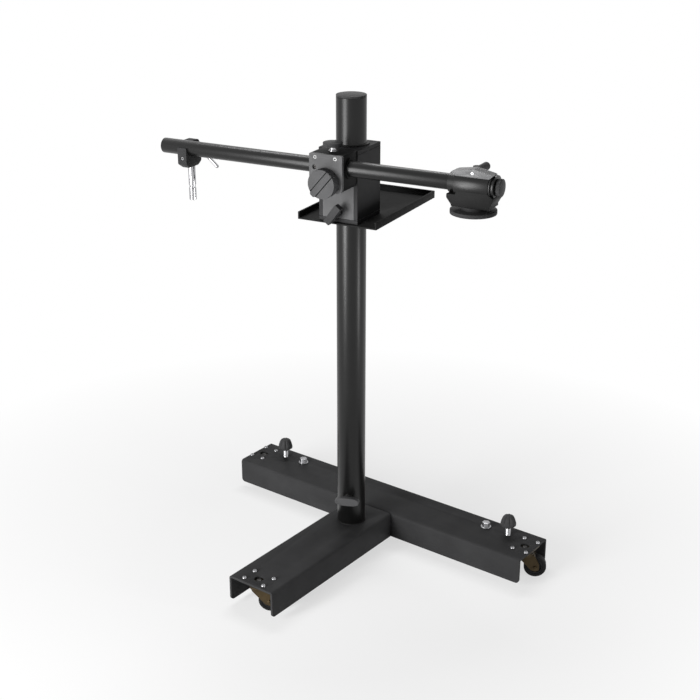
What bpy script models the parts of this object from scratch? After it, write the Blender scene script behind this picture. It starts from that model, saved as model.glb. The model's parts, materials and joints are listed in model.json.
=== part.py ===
"""Wheeled camera stand: T-shaped channel base on casters, swivelling column, sliding carriage, cross arm.

Lengths are metres and +Z is up. The base is laid out about the column's axis, with the front leg
towards -Y and the floor at Z = 0. The column and all that it carries are turned a little on the
base, so their pieces are laid out in frames of their own, with the cross arm along X.
"""
import math

import bmesh
import bpy
from mathutils import Matrix, Vector

# Fits
GAP = 0.0003
REACH = 0.002

# Base beams: pressed steel channels, open underneath
BEAM_TOP = 0.073
BEAM_WIDTH = 0.120
BEAM_HEIGHT = 0.060
BEAM_WALL = 0.005
BEAM_BEND = 0.006
BEAM_CREASE = 0.001
FLANGE_CORNER = 0.008
BAR_LENGTH = 0.810
BAR_FRONT = 0.0745
LEG_REACH = 0.354
JOINT_PLATE = 0.006
JOINT_BOLT_X = 0.035
JOINT_BOLT_RADIUS = 0.004
JOINT_NUT_RADIUS = 0.0075
JOINT_NUT_THICK = 0.006

# Casters
WHEEL_RADIUS = 0.025
WHEEL_WIDTH = 0.020
TYRE_SHOULDER = 0.003
HUB_RADIUS = 0.017
HUB_BOSS_RADIUS = 0.007
HUB_WEB = 0.008
HUB_RIM = 0.0025
WHEEL_PLAY = 0.0015
TRAIL = 0.024
TRAIL_TURN = math.radians(30.0)
FORK_WALL = 0.0025
FORK_CROWN = 0.003
FORK_EYE = 0.009
FORK_EYE_DROP = 0.0063
FORK_NOSE = 0.014
AXLE_RADIUS = 0.003
AXLE_NUT_RADIUS = 0.0055
AXLE_NUT_THICK = 0.0035
RACE_RADIUS = 0.020
RACE_HEIGHT = 0.0045
KINGPIN_RADIUS = 0.005
KINGPIN_HEAD = 0.008
KINGPIN_HEAD_THICK = 0.002
RIVET_RADIUS = 0.0065
RIVET_TOP_RADIUS = 0.0052
RIVET_SIDE = 0.0018
RIVET_RISE = 0.003
CASTER_PLATE = 0.003
CASTER_PLATE_EDGE = 0.0045
BOLT_SHORT = 0.034
BOLT_LONG = 0.053
BOLT_RADIUS = 0.003
BOLT_HEAD_RADIUS = 0.0050
BOLT_HEAD_RISE = 0.0032
WEB_HOLE_RADIUS = 0.0105
BAR_CASTER_INSET = 0.022
BAR_CASTER_Y = 0.137
LEG_CASTER_INSET = 0.028

# Levelling screws
LEVEL_INSET = 0.078
LEVEL_Y = 0.156
LEVEL_BOLT_STEP = 0.058
NUT_BAR_WIDTH = 0.026
NUT_BAR_THICK = 0.0117
NUT_BAR_END = 0.0145
SCREW_RADIUS = 0.006
SCREW_TIP_RADIUS = 0.004
FOOT_LIFT = 0.007
FOOT_RADIUS = 0.0075
FOOT_HEIGHT = 0.008
FOOT_FLOOR = 0.003
LEVEL_KNOB_RISE = 0.018
LEVEL_KNOB_HEIGHT = 0.031
LEVEL_KNOB_RADIUS = 0.0165
LEVEL_KNOB_TOP = 0.0100
LEVEL_KNOB_SKIRT = 0.004
LEVEL_SOCKET = 0.015
FLUTES = 8
FLUTE_RADIUS = 0.0042
FLUTE_OUT = 0.0023
HEX_BOLT_RADIUS = 0.005
HEX_ACROSS = 0.016
HEX_HEIGHT = 0.010
WASHER_RADIUS = 0.012
WASHER_THICK = 0.002
HEX_BOLT_TAIL = 0.004

# Column and the post that it turns on
COLUMN_RADIUS = 0.03175
COLUMN_WALL = 0.003
COLUMN_TOP = 1.056
COLUMN_TURN = math.radians(9.26)
CAP_THICK = 0.004
CAP_PLUG = 0.016
POST_RADIUS = 0.025
POST_WALL = 0.004
POST_HEIGHT = 0.247
POST_FLANGE_RADIUS = 0.048
POST_FLANGE_THICK = 0.006
BUSH_FLANGE = 0.0017
BUSH_LENGTH = 0.040
UPPER_BUSH_LENGTH = 0.050
UPPER_BUSH_LIP = 0.003
LOCK_HEIGHT = 0.069
LOCK_TURN = math.radians(16.0)
LOCK_PAD_RADIUS = 0.0045
LOCK_STUD_RADIUS = 0.004
LOCK_BOSS_RADIUS = 0.011
LOCK_BOSS_REACH = 0.035
LOCK_BOSS_SINK = 0.0025
LOCK_PAD_SINK = 0.005
LOCK_HUB_RADIUS = 0.009
LOCK_WING_BACK = 0.038
LOCK_WING_FACE = 0.051
LOCK_WING_LONG = 0.055
LOCK_WING_HIGH = 0.019
LOCK_WING_POWER = 2.6

# Carriage: a box of flat plates round the column
CARRIAGE_BOTTOM = 0.8005
CARRIAGE_HALF = 0.045
CARRIAGE_FRONT = 0.0585
CARRIAGE_REAR = 0.0453
CARRIAGE_HEIGHT = 0.154
PLATE = 0.008
PLATE_EDGE = 0.0006
GUIDE_WALL = 0.0025
GUIDE_FLANGE = 0.0365
GUIDE_FLANGE_THICK = 0.0025
GUIDE_COLLAR = 0.038
GUIDE_DEPTH = 0.014

# Tray
TRAY_SHEET = 0.003
TRAY_HALF = 0.092
TRAY_FRONT = 0.066
TRAY_REAR = 0.222
TRAY_LIP = 0.016
TRAY_HEM = 0.004
TRAY_HOLE_PLAY = 0.003

# Carriage brake
BRAKE_RISE = 0.0215
BRAKE_FACE = 0.087
BRAKE_BAR_THICK = 0.014
BRAKE_BAR_LONG = 0.044
BRAKE_BAR_HIGH = 0.014
BRAKE_BAR_CORNER = 0.004
BRAKE_BAR_TILT = math.radians(52.5)
BRAKE_HUB_RADIUS = 0.009
BRAKE_STEM_RADIUS = 0.005
SHOE_WIDE = 0.030
SHOE_HIGH = 0.018
SHOE_FRONT = 0.0485
SHOE_CHEEK = 0.030

# Arm clamp, which tilts on a bolt through the front of the carriage
TILT_X = 0.006
TILT_RISE = 0.0995
TILT_BOLT_RADIUS = 0.006
TILT_HEAD_RADIUS = 0.010
TILT_HEAD_THICK = 0.007
FRICTION_RADIUS = 0.015
FRICTION_THICK = 0.0012
BLOCK_HALF = 0.0375
BLOCK_BACK = 0.0603
BLOCK_FRONT = 0.1150
BLOCK_BELOW = 0.020
BLOCK_ABOVE = 0.057
BLOCK_CORNER = 0.003
BLOCK_FOOT_CORNER = 0.010
FACE_PLATE = 0.0067
FACE_SCREW_RADIUS = 0.0042
FACE_SCREW_HOLE = 0.0022
FACE_SCREW_SINK = 0.0022
FACE_SCREWS = ((-0.0240, 0.0495), (0.0215, 0.0495), (-0.0200, -0.0090), (0.0200, -0.0090))
KEY_HOLE_RADIUS = 0.0048
KEY_HOLE_X = -0.0255
KEY_HOLE_Z = 0.0290
TILT_KNOB_RADIUS = 0.030
TILT_KNOB_FACE = 0.142
TILT_KNOB_EDGE = 0.0012
TILT_KNOB_SOCKET = 0.008
TILT_BAR_WIDE = 0.0135
TILT_BAR_OUT = 0.033
TILT_BAR_IN = 0.029
TILT_BAR_PROUD = 0.0006
TILT_BAR_NOSE = 0.9
TILT_BAR_HEEL = 0.4
TILT_BAR_TURN = math.radians(49.0)
GROOVE_WIDE = 0.0020
GROOVE_DEEP = 0.0040
ARM_LOCK_RADIUS = 0.020
ARM_LOCK_THICK = 0.008
ARM_LOCK_TOP = 0.076
ARM_LOCK_STUD = 0.005
ARM_LOCK_WASHER = 0.0085
ARM_LOCK_COLLAR = 0.0070

# Cross arm
ARM_RADIUS = 0.016
ARM_WALL = 0.003
ARM_FORWARD = 0.091
ARM_RISE = 0.026
ARM_LEFT = -0.410
ARM_RIGHT = 0.277
ARM_CAP = 0.003
ARM_CAP_PLUG = 0.015
ARM_BUSH_WALL = 0.0017
ARM_BUSH_LONG = 0.022
ARM_BUSH_LIP = 0.003
ARM_BUSH_LIP_RADIUS = 0.0205

# Stud bracket near the arm's left end
BRACKET_X = -0.355
BRACKET_HALF = 0.011
BRACKET_FOOT_HALF = 0.007
BRACKET_FRONT = 0.019
BRACKET_REAR = 0.037
BRACKET_FOOT_FRONT = 0.006
BRACKET_FOOT_REAR = 0.029
BRACKET_CHEEK = 0.003
BRACKET_HOOK = 0.0148
BRACKET_HOOK_Y = 0.0065
BRACKET_HOOK_SLOPE = 0.009
BRACKET_HOOK_CORNER = 0.004
BRACKET_CORNER = 0.003
BRACKET_FOOT_CORNER = 0.002
BRACKET_TAPER_Z = -0.032
BRACKET_FOOT_Z = -0.042
BRACKET_BOLT_Z = -0.020
BRACKET_BOLT_RADIUS = 0.0038
BRACKET_BOLT_SINK = 0.003
LIGHT_STUD_RADIUS = 0.008
LIGHT_STUD_BACK = 0.015
LIGHT_STUD_DROP = 0.075
LIGHT_STUD_GROOVE = 0.0012
LIGHT_STUD_GROOVE_RISE = 0.030
LIGHT_STUD_SPIGOT = 0.006
LIGHT_STUD_SPIGOT_LONG = 0.012
LEVER_DROP = 0.005
LEVER_SCREW_RADIUS = 0.004
LEVER_HUB_RADIUS = 0.008
LEVER_HUB_LONG = 0.0115
LEVER_BAR_RADIUS = 0.00325
LEVER_BAR_LONG = 0.064
LEVER_BAR_BACK = 0.014
LEVER_BAR_TURN = math.radians(130.0)

# Head on the arm's right end
HEAD_X = 0.308
COLLAR_LEFT = -0.049
COLLAR_RADIUS = 0.020
BARREL_LEFT = -0.034
BARREL_RIGHT = 0.0365
BARREL_RADIUS = 0.026
RING_GROOVE = 0.0015
RING_LEFT = 0.0380
RING_RIGHT = 0.0405
RING_SLOPE = 0.0005
END_PLATE_RADIUS = 0.0235
END_PLATE_BACK = 0.0425
END_PLATE_X = 0.047
HEAD_BORE_END = -0.030
NECK_HALF = 0.024
NECK_LEFT = -0.056
NECK_RIGHT = 0.048
NECK_CORNER = 0.002
NECK_INSIDE = -0.0095
NECK_SHOULDER = -0.0175
NECK_WAIST = -0.0235
NECK_FOOT_TOP = -0.034
NECK_FOOT_LEFT_TOP = -0.037
NECK_FOOT = -0.041
NECK_FOOT_LEFT = -0.038
NECK_FOOT_RIGHT = 0.041
FAIRING_FRONT = 0.019
FAIRING_REAR = 0.006
FAIRING_LEFT = -0.0412
FAIRING_RIGHT = 0.0448
FAIRING_PEAK_X = 0.004
FAIRING_PEAK = 0.034
FAIRING_SKIRT = 0.0180
FAIRING_SKIRT_LEFT = -0.032
FAIRING_BROW = 0.0285
FAIRING_TIP = 0.0255
FAIRING_GROOVES = 3
FAIRING_GROOVE_WIDE = 0.0013
FAIRING_GROOVE_DEEP = 0.0009
FAIRING_SCREW_RADIUS = 0.0030
DISC_RADIUS = 0.046
DISC_THICK = 0.008
DISC_EDGE = 0.001
DISC_BOSS_RADIUS = 0.024
DISC_BOSS_HIGH = 0.0067
DISC_SPIGOT_RADIUS = 0.008
DISC_SPIGOT_LONG = 0.0113
CAMERA_SCREW_RADIUS = 0.00476
CAMERA_SCREW_LONG = 0.009
GRIP_X = -0.002
GRIP_Y = 0.015
GRIP_BOSS_RADIUS = 0.0075
GRIP_BOSS_TOP = 0.0265
GRIP_BOSS_LONG = 0.012
GRIP_HOLE_LONG = 0.010
GRIP_STUD_LONG = 0.009
GRIP_HUB_RADIUS = 0.0078
GRIP_HUB_HIGH = 0.0120
GRIP_LONG = 0.052
GRIP_ROOT = 0.0052
GRIP_END = 0.0085
GRIP_END_LONG = 0.0051
GRIP_DROOP = math.radians(4.0)
END_KNOB_RADIUS = 0.0175
END_KNOB_COLLAR = 0.0105
END_KNOB_THICK = 0.009
END_KNOB_EDGE = 0.0012
END_KNOB_STUD = 0.005
END_KNOB_STUD_LONG = 0.011

# Facings: which way a piece's own +Z points, before it is placed
UP = (0.0, 0.0, 0.0)
FRONT = (math.pi / 2, 0.0, 0.0)
BACK = (-math.pi / 2, 0.0, 0.0)
RIGHT = (0.0, math.pi / 2, 0.0)
ALONG_X = (math.pi / 2, 0.0, math.pi / 2)

# Steps round a full turn, and round a corner
FINE = 32
ROUND = 20
MEDIUM = 16
SMALL = 12
TINY = 8
HEXAGON = 6
CORNER_STEPS = 4
FORK_STEPS = 3
FEW_STEPS = 2

# Angles that lay out a dome from its top to its rim
DOME = tuple(math.radians(degrees) for degrees in (0, 30, 60, 90))
GRIP_DOME = tuple(math.radians(degrees) for degrees in (0, 35, 65, 90))
BOLT_DOME = tuple(math.radians(degrees) for degrees in (0, 55, 90))
SHOULDER = tuple(math.radians(degrees) for degrees in (0, 45, 90))

# Drafting limits
MERGE = 0.00001
FLAT = 0.001
SMOOTH_BELOW = math.radians(35.0)
EASE_ABOVE = math.radians(40.0)
AXES_SIZE = 0.02

# Values that several pieces share
WEB_UNDER = BEAM_TOP - BEAM_WALL
SEAT = WEB_UNDER - GAP
BEAM_FOOT = BEAM_TOP - BEAM_HEIGHT
BAR_Y = BAR_FRONT + BEAM_WIDTH / 2
ARM_BORE = ARM_RADIUS + GAP
GUIDE_BORE = COLUMN_RADIUS + GAP
GUIDE_OUTER = GUIDE_BORE + GUIDE_WALL
COLUMN_FOOT = BEAM_TOP + BUSH_FLANGE + 2 * GAP
COLUMN_INNER = COLUMN_RADIUS - COLUMN_WALL


def clear_scene():
    """Empty the file, so that a second run starts from nothing."""
    for thing in list(bpy.data.objects):
        bpy.data.objects.remove(thing, do_unlink=True)
    for group in list(bpy.data.collections):
        bpy.data.collections.remove(group)


def new_collection(name):
    group = bpy.data.collections.new(name)
    bpy.context.scene.collection.children.link(group)
    return group


clear_scene()
PIECES = new_collection("camera_stand")
CUTTERS = new_collection("cutters")


def material(name, colour, roughness, metallic):
    """A Principled material."""
    made = bpy.data.materials.new(name)
    made.use_nodes = True
    shader = made.node_tree.nodes["Principled BSDF"]
    shader.inputs["Base Color"].default_value = (*colour, 1.0)
    shader.inputs["Roughness"].default_value = roughness
    shader.inputs["Metallic"].default_value = metallic
    return made


FINISHES = {
    "base_paint": material("base_paint", (0.035, 0.035, 0.037), 0.45, 0.0),
    "column_paint": material("column_paint", (0.012, 0.012, 0.013), 0.22, 0.0),
    "machined_black": material("machined_black", (0.030, 0.030, 0.032), 0.35, 0.3),
    "knob_plastic": material("knob_plastic", (0.020, 0.020, 0.021), 0.50, 0.0),
    "chrome": material("chrome", (0.75, 0.75, 0.76), 0.12, 1.0),
    "zinc_olive": material("zinc_olive", (0.30, 0.26, 0.14), 0.38, 0.9),
    "wheel_rubber": material("wheel_rubber", (0.018, 0.018, 0.018), 0.70, 0.0),
    "wheel_hub": material("wheel_hub", (0.030, 0.030, 0.031), 0.50, 0.0),
    "bush_nylon": material("bush_nylon", (0.055, 0.055, 0.055), 0.55, 0.0),
    "brass": material("brass", (0.62, 0.45, 0.18), 0.30, 1.0),
    "raw_steel": material("raw_steel", (0.42, 0.42, 0.43), 0.35, 1.0),
}


def frame(name, parent, place=(0, 0, 0), turn=(0, 0, 0)):
    """An empty that carries a group of pieces and sits on their joint's axis."""
    empty = bpy.data.objects.new(name, None)
    empty.empty_display_size = AXES_SIZE
    empty.location = place
    empty.rotation_euler = turn
    empty.parent = parent
    PIECES.objects.link(empty)
    return empty


def place_mesh(name, mesh, parent, place, turn, finish):
    """Put a mesh into the object's collection, in its parent's frame."""
    piece = bpy.data.objects.new(name, mesh)
    piece.location = place
    piece.rotation_euler = turn
    piece.parent = parent
    PIECES.objects.link(piece)
    if finish:
        mesh.materials.append(FINISHES[finish])
    return piece


def smooth(mesh):
    mesh.shade_smooth()
    mesh.set_sharp_from_angle(angle=SMOOTH_BELOW)


def block(name, low, high, parent, finish=None, edge=0.0):
    """A box between two corners, with its edges eased where edge is given."""
    low = Vector(low)
    high = Vector(high)
    form = bmesh.new()
    bmesh.ops.create_cube(form, size=1.0)
    bmesh.ops.scale(form, vec=high - low, verts=form.verts)
    mesh = bpy.data.meshes.new(name)
    form.to_mesh(mesh)
    form.free()
    piece = place_mesh(name, mesh, parent, (low + high) / 2, UP, finish)
    if edge:
        ease(piece, edge)
    return piece


def ease(piece, width):
    """Take the sharp edges off a piece."""
    bevel = piece.modifiers.new("ease", "BEVEL")
    bevel.width = width
    bevel.segments = 1
    bevel.limit_method = "ANGLE"
    bevel.angle_limit = EASE_ABOVE


def rods(name, radius, start, end, places, parent, facing, sides=SMALL, finish=None, place=(0, 0, 0),
         tip=None):
    """Straight rods that run from start to end along the facing, one at each place across it."""
    form = bmesh.new()
    for across, up in places:
        bmesh.ops.create_cone(form, cap_ends=True, segments=sides, radius1=radius,
                              radius2=radius if tip is None else tip, depth=end - start,
                              matrix=Matrix.Translation((across, up, (start + end) / 2)))
    mesh = bpy.data.meshes.new(name)
    form.to_mesh(mesh)
    form.free()
    smooth(mesh)
    return place_mesh(name, mesh, parent, place, facing, finish)


def rod(name, radius, start, end, parent, facing, sides=SMALL, finish=None, place=(0, 0, 0)):
    return rods(name, radius, start, end, ((0, 0),), parent, facing, sides, finish, place)


def turned(name, profile, parent, facing, steps=ROUND, finish=None, place=(0, 0, 0), hollow=False):
    """A turned piece: its profile runs down the outer side, and closes on itself if it is hollow."""
    mesh = bpy.data.meshes.new(name)
    links = [(i, i + 1) for i in range(len(profile) - 1)]
    if hollow:
        links.append((len(profile) - 1, 0))
    mesh.from_pydata([(radius, 0.0, height) for radius, height in profile], links, [])
    piece = place_mesh(name, mesh, parent, place, facing, finish)
    screw = piece.modifiers.new("turn", "SCREW")
    screw.steps = steps
    screw.render_steps = steps
    screw.use_merge_vertices = True
    screw.merge_threshold = MERGE
    screw.use_smooth_shade = True
    return piece


def rounded(outline, steps=CORNER_STEPS):
    """The outline with its corners rounded: each point is (x, y) or (x, y, radius)."""
    points = []
    count = len(outline)
    for i, corner in enumerate(outline):
        here = Vector(corner[:2])
        radius = corner[2] if len(corner) > 2 else 0.0
        if radius <= 0.0:
            points.append(here)
            continue
        before = (Vector(outline[i - 1][:2]) - here).normalized()
        after = (Vector(outline[(i + 1) % count][:2]) - here).normalized()
        half = before.angle(after) / 2
        centre = here + (before + after).normalized() * radius / math.sin(half)
        first = here + before * radius / math.tan(half) - centre
        last = here + after * radius / math.tan(half) - centre
        sweep = first.angle_signed(last)
        for k in range(steps + 1):
            points.append(centre + first @ Matrix.Rotation(sweep * k / steps, 2))
    return points


def prism(name, outlines, start, end, parent, facing, finish=None, place=(0, 0, 0)):
    """A flat outline, with holes if more are given, extruded along the facing from start to end."""
    curve = bpy.data.curves.new(name, "CURVE")
    curve.dimensions = "2D"
    curve.fill_mode = "BOTH"
    curve.extrude = (end - start) / 2
    for outline in outlines:
        spline = curve.splines.new("POLY")
        spline.points.add(len(outline) - 1)
        for point, corner in zip(spline.points, outline):
            point.co = (corner[0], corner[1], 0.0, 1.0)
        spline.use_cyclic_u = True
    draft = bpy.data.objects.new(name + "_outline", curve)
    bpy.context.scene.collection.objects.link(draft)
    graph = bpy.context.evaluated_depsgraph_get()
    mesh = bpy.data.meshes.new_from_object(draft.evaluated_get(graph))
    bpy.data.objects.remove(draft, do_unlink=True)
    form = bmesh.new()
    form.from_mesh(mesh)
    bmesh.ops.remove_doubles(form, verts=form.verts, dist=MERGE)
    bmesh.ops.translate(form, vec=(0, 0, (start + end) / 2), verts=form.verts)
    bmesh.ops.recalc_face_normals(form, faces=form.faces)
    bmesh.ops.dissolve_limit(form, angle_limit=FLAT, verts=form.verts, edges=form.edges)
    form.to_mesh(mesh)
    form.free()
    smooth(mesh)
    return place_mesh(name, mesh, parent, place, facing, finish)


def combine(target, tool, operation):
    """Cut, join or keep target with tool, which becomes a hidden cutter."""
    PIECES.objects.unlink(tool)
    CUTTERS.objects.link(tool)
    tool.hide_render = True
    tool.display_type = "WIRE"
    step = target.modifiers.new(operation.lower() + "_" + tool.name, "BOOLEAN")
    step.operation = operation
    step.object = tool
    step.solver = "EXACT"
    return target


def cut(target, tool):
    return combine(target, tool, "DIFFERENCE")


def join(target, tool):
    return combine(target, tool, "UNION")


def keep(target, tool):
    return combine(target, tool, "INTERSECT")


def rectangle(half_x, half_y, corner=0.0):
    """A centred rectangle with round corners."""
    return rounded([(-half_x, -half_y, corner), (half_x, -half_y, corner),
                    (half_x, half_y, corner), (-half_x, half_y, corner)])


def tilted(outline, angle):
    """An outline turned about its own origin."""
    turn = Matrix.Rotation(-angle, 2)
    return [Vector(point[:2]) @ turn for point in outline]


def circle(radius, across=0.0, up=0.0, sides=SMALL):
    return [(across + radius * math.cos(math.tau * i / sides), up + radius * math.sin(math.tau * i / sides))
            for i in range(sides)]


STAND = frame("stand", None)
UPPER = frame("upper_frame", STAND, turn=(0, 0, COLUMN_TURN))


def channel(name, half_length, facing, place):
    """An inverted U channel, a little long and deep, to be trimmed by its side view."""
    half = BEAM_WIDTH / 2
    inner = half - BEAM_WALL
    spare = BEAM_FOOT - REACH
    section = rounded([
        (-half, spare), (-inner, spare), (-inner, WEB_UNDER, BEAM_CREASE), (inner, WEB_UNDER, BEAM_CREASE),
        (inner, spare), (half, spare), (half, BEAM_TOP, BEAM_BEND), (-half, BEAM_TOP, BEAM_BEND)])
    return prism(name, [section], -half_length - REACH, half_length + REACH, STAND, facing, "base_paint",
                 place)


def base_beams():
    """The crossbar and the front leg, whose flanges have round lower corners at their free ends."""
    half = BAR_LENGTH / 2
    crossbar = channel("crossbar", half, ALONG_X, (0, BAR_Y, 0))
    side = rounded([(-half, BEAM_FOOT, FLANGE_CORNER), (half, BEAM_FOOT, FLANGE_CORNER),
                    (half, BEAM_TOP + REACH), (-half, BEAM_TOP + REACH)])
    keep(crossbar, prism("crossbar_side", [side], -BEAM_WIDTH / 2 - REACH, BEAM_WIDTH / 2 + REACH, STAND,
                         FRONT, place=(0, BAR_Y, 0)))
    rear = BAR_FRONT - GAP
    leg_half = (rear + LEG_REACH) / 2
    leg_y = (rear - LEG_REACH) / 2
    leg = channel("front_leg", leg_half, FRONT, (0, leg_y, 0))
    side = rounded([(-LEG_REACH, BEAM_FOOT, FLANGE_CORNER), (rear, BEAM_FOOT),
                    (rear, BEAM_TOP + REACH), (-LEG_REACH, BEAM_TOP + REACH)])
    keep(leg, prism("front_leg_side", [side], -BEAM_WIDTH / 2 - REACH, BEAM_WIDTH / 2 + REACH, STAND,
                    ALONG_X))
    cut(leg, rod("post_hole", POST_RADIUS + GAP, WEB_UNDER - REACH, BEAM_TOP + REACH, STAND, UP, FINE))
    bolts = ((-JOINT_BOLT_X, 0), (JOINT_BOLT_X, 0))
    height = (BEAM_FOOT + WEB_UNDER) / 2
    cut(crossbar, rods("joint_bolt_holes", JOINT_BOLT_RADIUS + GAP, -BEAM_WALL - REACH, REACH, bolts, STAND,
                       FRONT, place=(0, BAR_FRONT, height)))
    return crossbar, leg


def joint_plate():
    """The plate that closes the leg's rear end and is bolted through the crossbar's front flange."""
    half = BEAM_WIDTH / 2 - BEAM_WALL - GAP
    corner = BEAM_CREASE + REACH / 2
    outline = rounded([(-half, BEAM_FOOT + REACH), (half, BEAM_FOOT + REACH), (half, SEAT, corner),
                       (-half, SEAT, corner)])
    front = -(BAR_FRONT - GAP)
    plate = prism("leg_end_plate", [outline], front, front + JOINT_PLATE, STAND, FRONT, "base_paint")
    height = (BEAM_FOOT + WEB_UNDER) / 2
    bolts = ((-JOINT_BOLT_X, 0), (JOINT_BOLT_X, 0))
    inside = -(BAR_FRONT + BEAM_WALL + GAP)
    spot = (0, 0, height)
    join(plate, rods("joint_bolts", JOINT_BOLT_RADIUS, inside - JOINT_NUT_THICK - REACH,
                     front + JOINT_PLATE / 2, bolts, STAND, FRONT, place=spot))
    join(plate, rods("joint_nuts", JOINT_NUT_RADIUS, inside - JOINT_NUT_THICK, inside, bolts, STAND, FRONT,
                     HEXAGON, place=spot))
    join(plate, rods("joint_heads", JOINT_NUT_RADIUS, front + JOINT_PLATE / 2,
                     front + JOINT_PLATE + JOINT_NUT_THICK, bolts, STAND, FRONT, HEXAGON, place=spot))


def caster(side, x, y, beam, plate_turn):
    """A swivel caster under a beam's web: bolted plate with kingpin, fork with axle, hub and tyre."""
    seat = frame("caster_seat_" + side, STAND, (x, y, 0), (0, 0, plate_turn))
    half_short = BOLT_SHORT / 2
    half_long = BOLT_LONG / 2
    corners = [(a, b) for a in (-half_short, half_short) for b in (-half_long, half_long)]
    plate_under = SEAT - CASTER_PLATE
    race_under = plate_under - RACE_HEIGHT
    crown_top = race_under - GAP - RACE_HEIGHT
    crown_under = crown_top - FORK_CROWN
    outline = rectangle(half_short + CASTER_PLATE_EDGE, half_long + CASTER_PLATE_EDGE, CASTER_PLATE_EDGE)
    plate = prism("caster_plate_" + side, [outline], plate_under, SEAT, seat, UP, "zinc_olive")
    middle = (plate_under + SEAT) / 2
    head_top = crown_under - GAP
    join(plate, turned("kingpin_" + side, [
        (0, SEAT + RIVET_RISE), (RIVET_TOP_RADIUS, SEAT + RIVET_RISE), (RIVET_RADIUS, SEAT + RIVET_SIDE),
        (RIVET_RADIUS, middle), (RACE_RADIUS, middle), (RACE_RADIUS, race_under),
        (KINGPIN_RADIUS, race_under), (KINGPIN_RADIUS, head_top), (KINGPIN_HEAD, head_top),
        (KINGPIN_HEAD, head_top - KINGPIN_HEAD_THICK), (0, head_top - KINGPIN_HEAD_THICK)],
        seat, UP, MEDIUM))
    dome = [(BOLT_HEAD_RADIUS * math.sin(a), BEAM_TOP + GAP + BOLT_HEAD_RISE * math.cos(a))
            for a in BOLT_DOME]
    for number, (a, b) in enumerate(corners):
        join(plate, turned("caster_bolt_%s_%d" % (side, number),
                           dome + [(BOLT_RADIUS, BEAM_TOP + GAP), (BOLT_RADIUS, middle), (0, middle)],
                           seat, UP, TINY, place=(a, b, 0)))
    cut(beam, rods("caster_bolt_holes_" + side, BOLT_RADIUS + GAP, WEB_UNDER - REACH, BEAM_TOP + REACH,
                   corners, seat, UP, TINY))
    cut(beam, rod("caster_hole_" + side, WEB_HOLE_RADIUS, WEB_UNDER - REACH, BEAM_TOP + REACH, seat, UP,
                  MEDIUM))

    swivel = frame("caster_swivel_" + side, STAND, (x, y, 0), (0, 0, TRAIL_TURN))
    inner = WHEEL_WIDTH / 2 + WHEEL_PLAY
    outer = inner + FORK_WALL
    eye = FORK_EYE
    eye_side = WHEEL_RADIUS - FORK_EYE_DROP
    view = rounded([
        (-FORK_NOSE, crown_top), (-FORK_NOSE, crown_under - REACH), (TRAIL - eye, eye_side, eye / 2),
        (TRAIL, WHEEL_RADIUS - eye, eye / 2), (TRAIL + eye, eye_side, eye / 2),
        (TRAIL + eye, WHEEL_RADIUS + eye), (TRAIL - REACH, crown_top, FORK_CROWN)], FORK_STEPS)
    fork = prism("caster_fork_" + side, [view], -outer, outer, swivel, FRONT, "zinc_olive")
    cut(fork, block("fork_slot_" + side, (-2 * FORK_NOSE, -inner, 0), (TRAIL + 2 * eye, inner, crown_under),
                    swivel))
    join(fork, rod("fork_race_" + side, RACE_RADIUS + REACH / 2, crown_top - FORK_CROWN / 2,
                   crown_top + RACE_HEIGHT, swivel, UP, MEDIUM))
    cut(fork, rod("kingpin_hole_" + side, KINGPIN_RADIUS + GAP, crown_under - REACH,
                  crown_top + RACE_HEIGHT + REACH, swivel, UP))
    axle = frame("caster_axle_" + side, swivel, (TRAIL, 0, WHEEL_RADIUS))
    nut_end = outer + AXLE_NUT_THICK
    join(fork, rod("axle_" + side, AXLE_RADIUS, -nut_end - AXLE_RADIUS / 2, nut_end + AXLE_RADIUS / 2, axle,
                   FRONT))
    for sign in (-1, 1):
        ends = sorted((sign * (outer - FORK_WALL / 2), sign * nut_end))
        join(fork, rod("axle_nut_%s_%d" % (side, sign), AXLE_NUT_RADIUS, ends[0], ends[1], axle, FRONT,
                       HEXAGON))

    bore = AXLE_RADIUS + GAP
    rim = WHEEL_WIDTH / 2 - HUB_RIM / 2
    web = HUB_WEB / 2
    boss = WHEEL_WIDTH / 2 + WHEEL_PLAY / 3
    turned("wheel_hub_" + side, [
        (HUB_RADIUS, rim), (HUB_RADIUS, -rim), (HUB_RADIUS - HUB_RIM, -rim), (HUB_RADIUS - HUB_RIM, -web),
        (HUB_BOSS_RADIUS, -web), (HUB_BOSS_RADIUS, -boss), (bore, -boss), (bore, boss),
        (HUB_BOSS_RADIUS, boss), (HUB_BOSS_RADIUS, web), (HUB_RADIUS - HUB_RIM, web),
        (HUB_RADIUS - HUB_RIM, rim)], axle, FRONT, MEDIUM, "wheel_hub", hollow=True)
    half = WHEEL_WIDTH / 2
    tread = [(WHEEL_RADIUS - TYRE_SHOULDER + TYRE_SHOULDER * math.sin(a),
              half - TYRE_SHOULDER + TYRE_SHOULDER * math.cos(a)) for a in SHOULDER]
    turned("tyre_" + side, tread + [(r, -z) for r, z in reversed(tread)]
           + [(HUB_RADIUS + GAP, -half), (HUB_RADIUS + GAP, half)],
           axle, FRONT, ROUND, "wheel_rubber", hollow=True)


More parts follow.
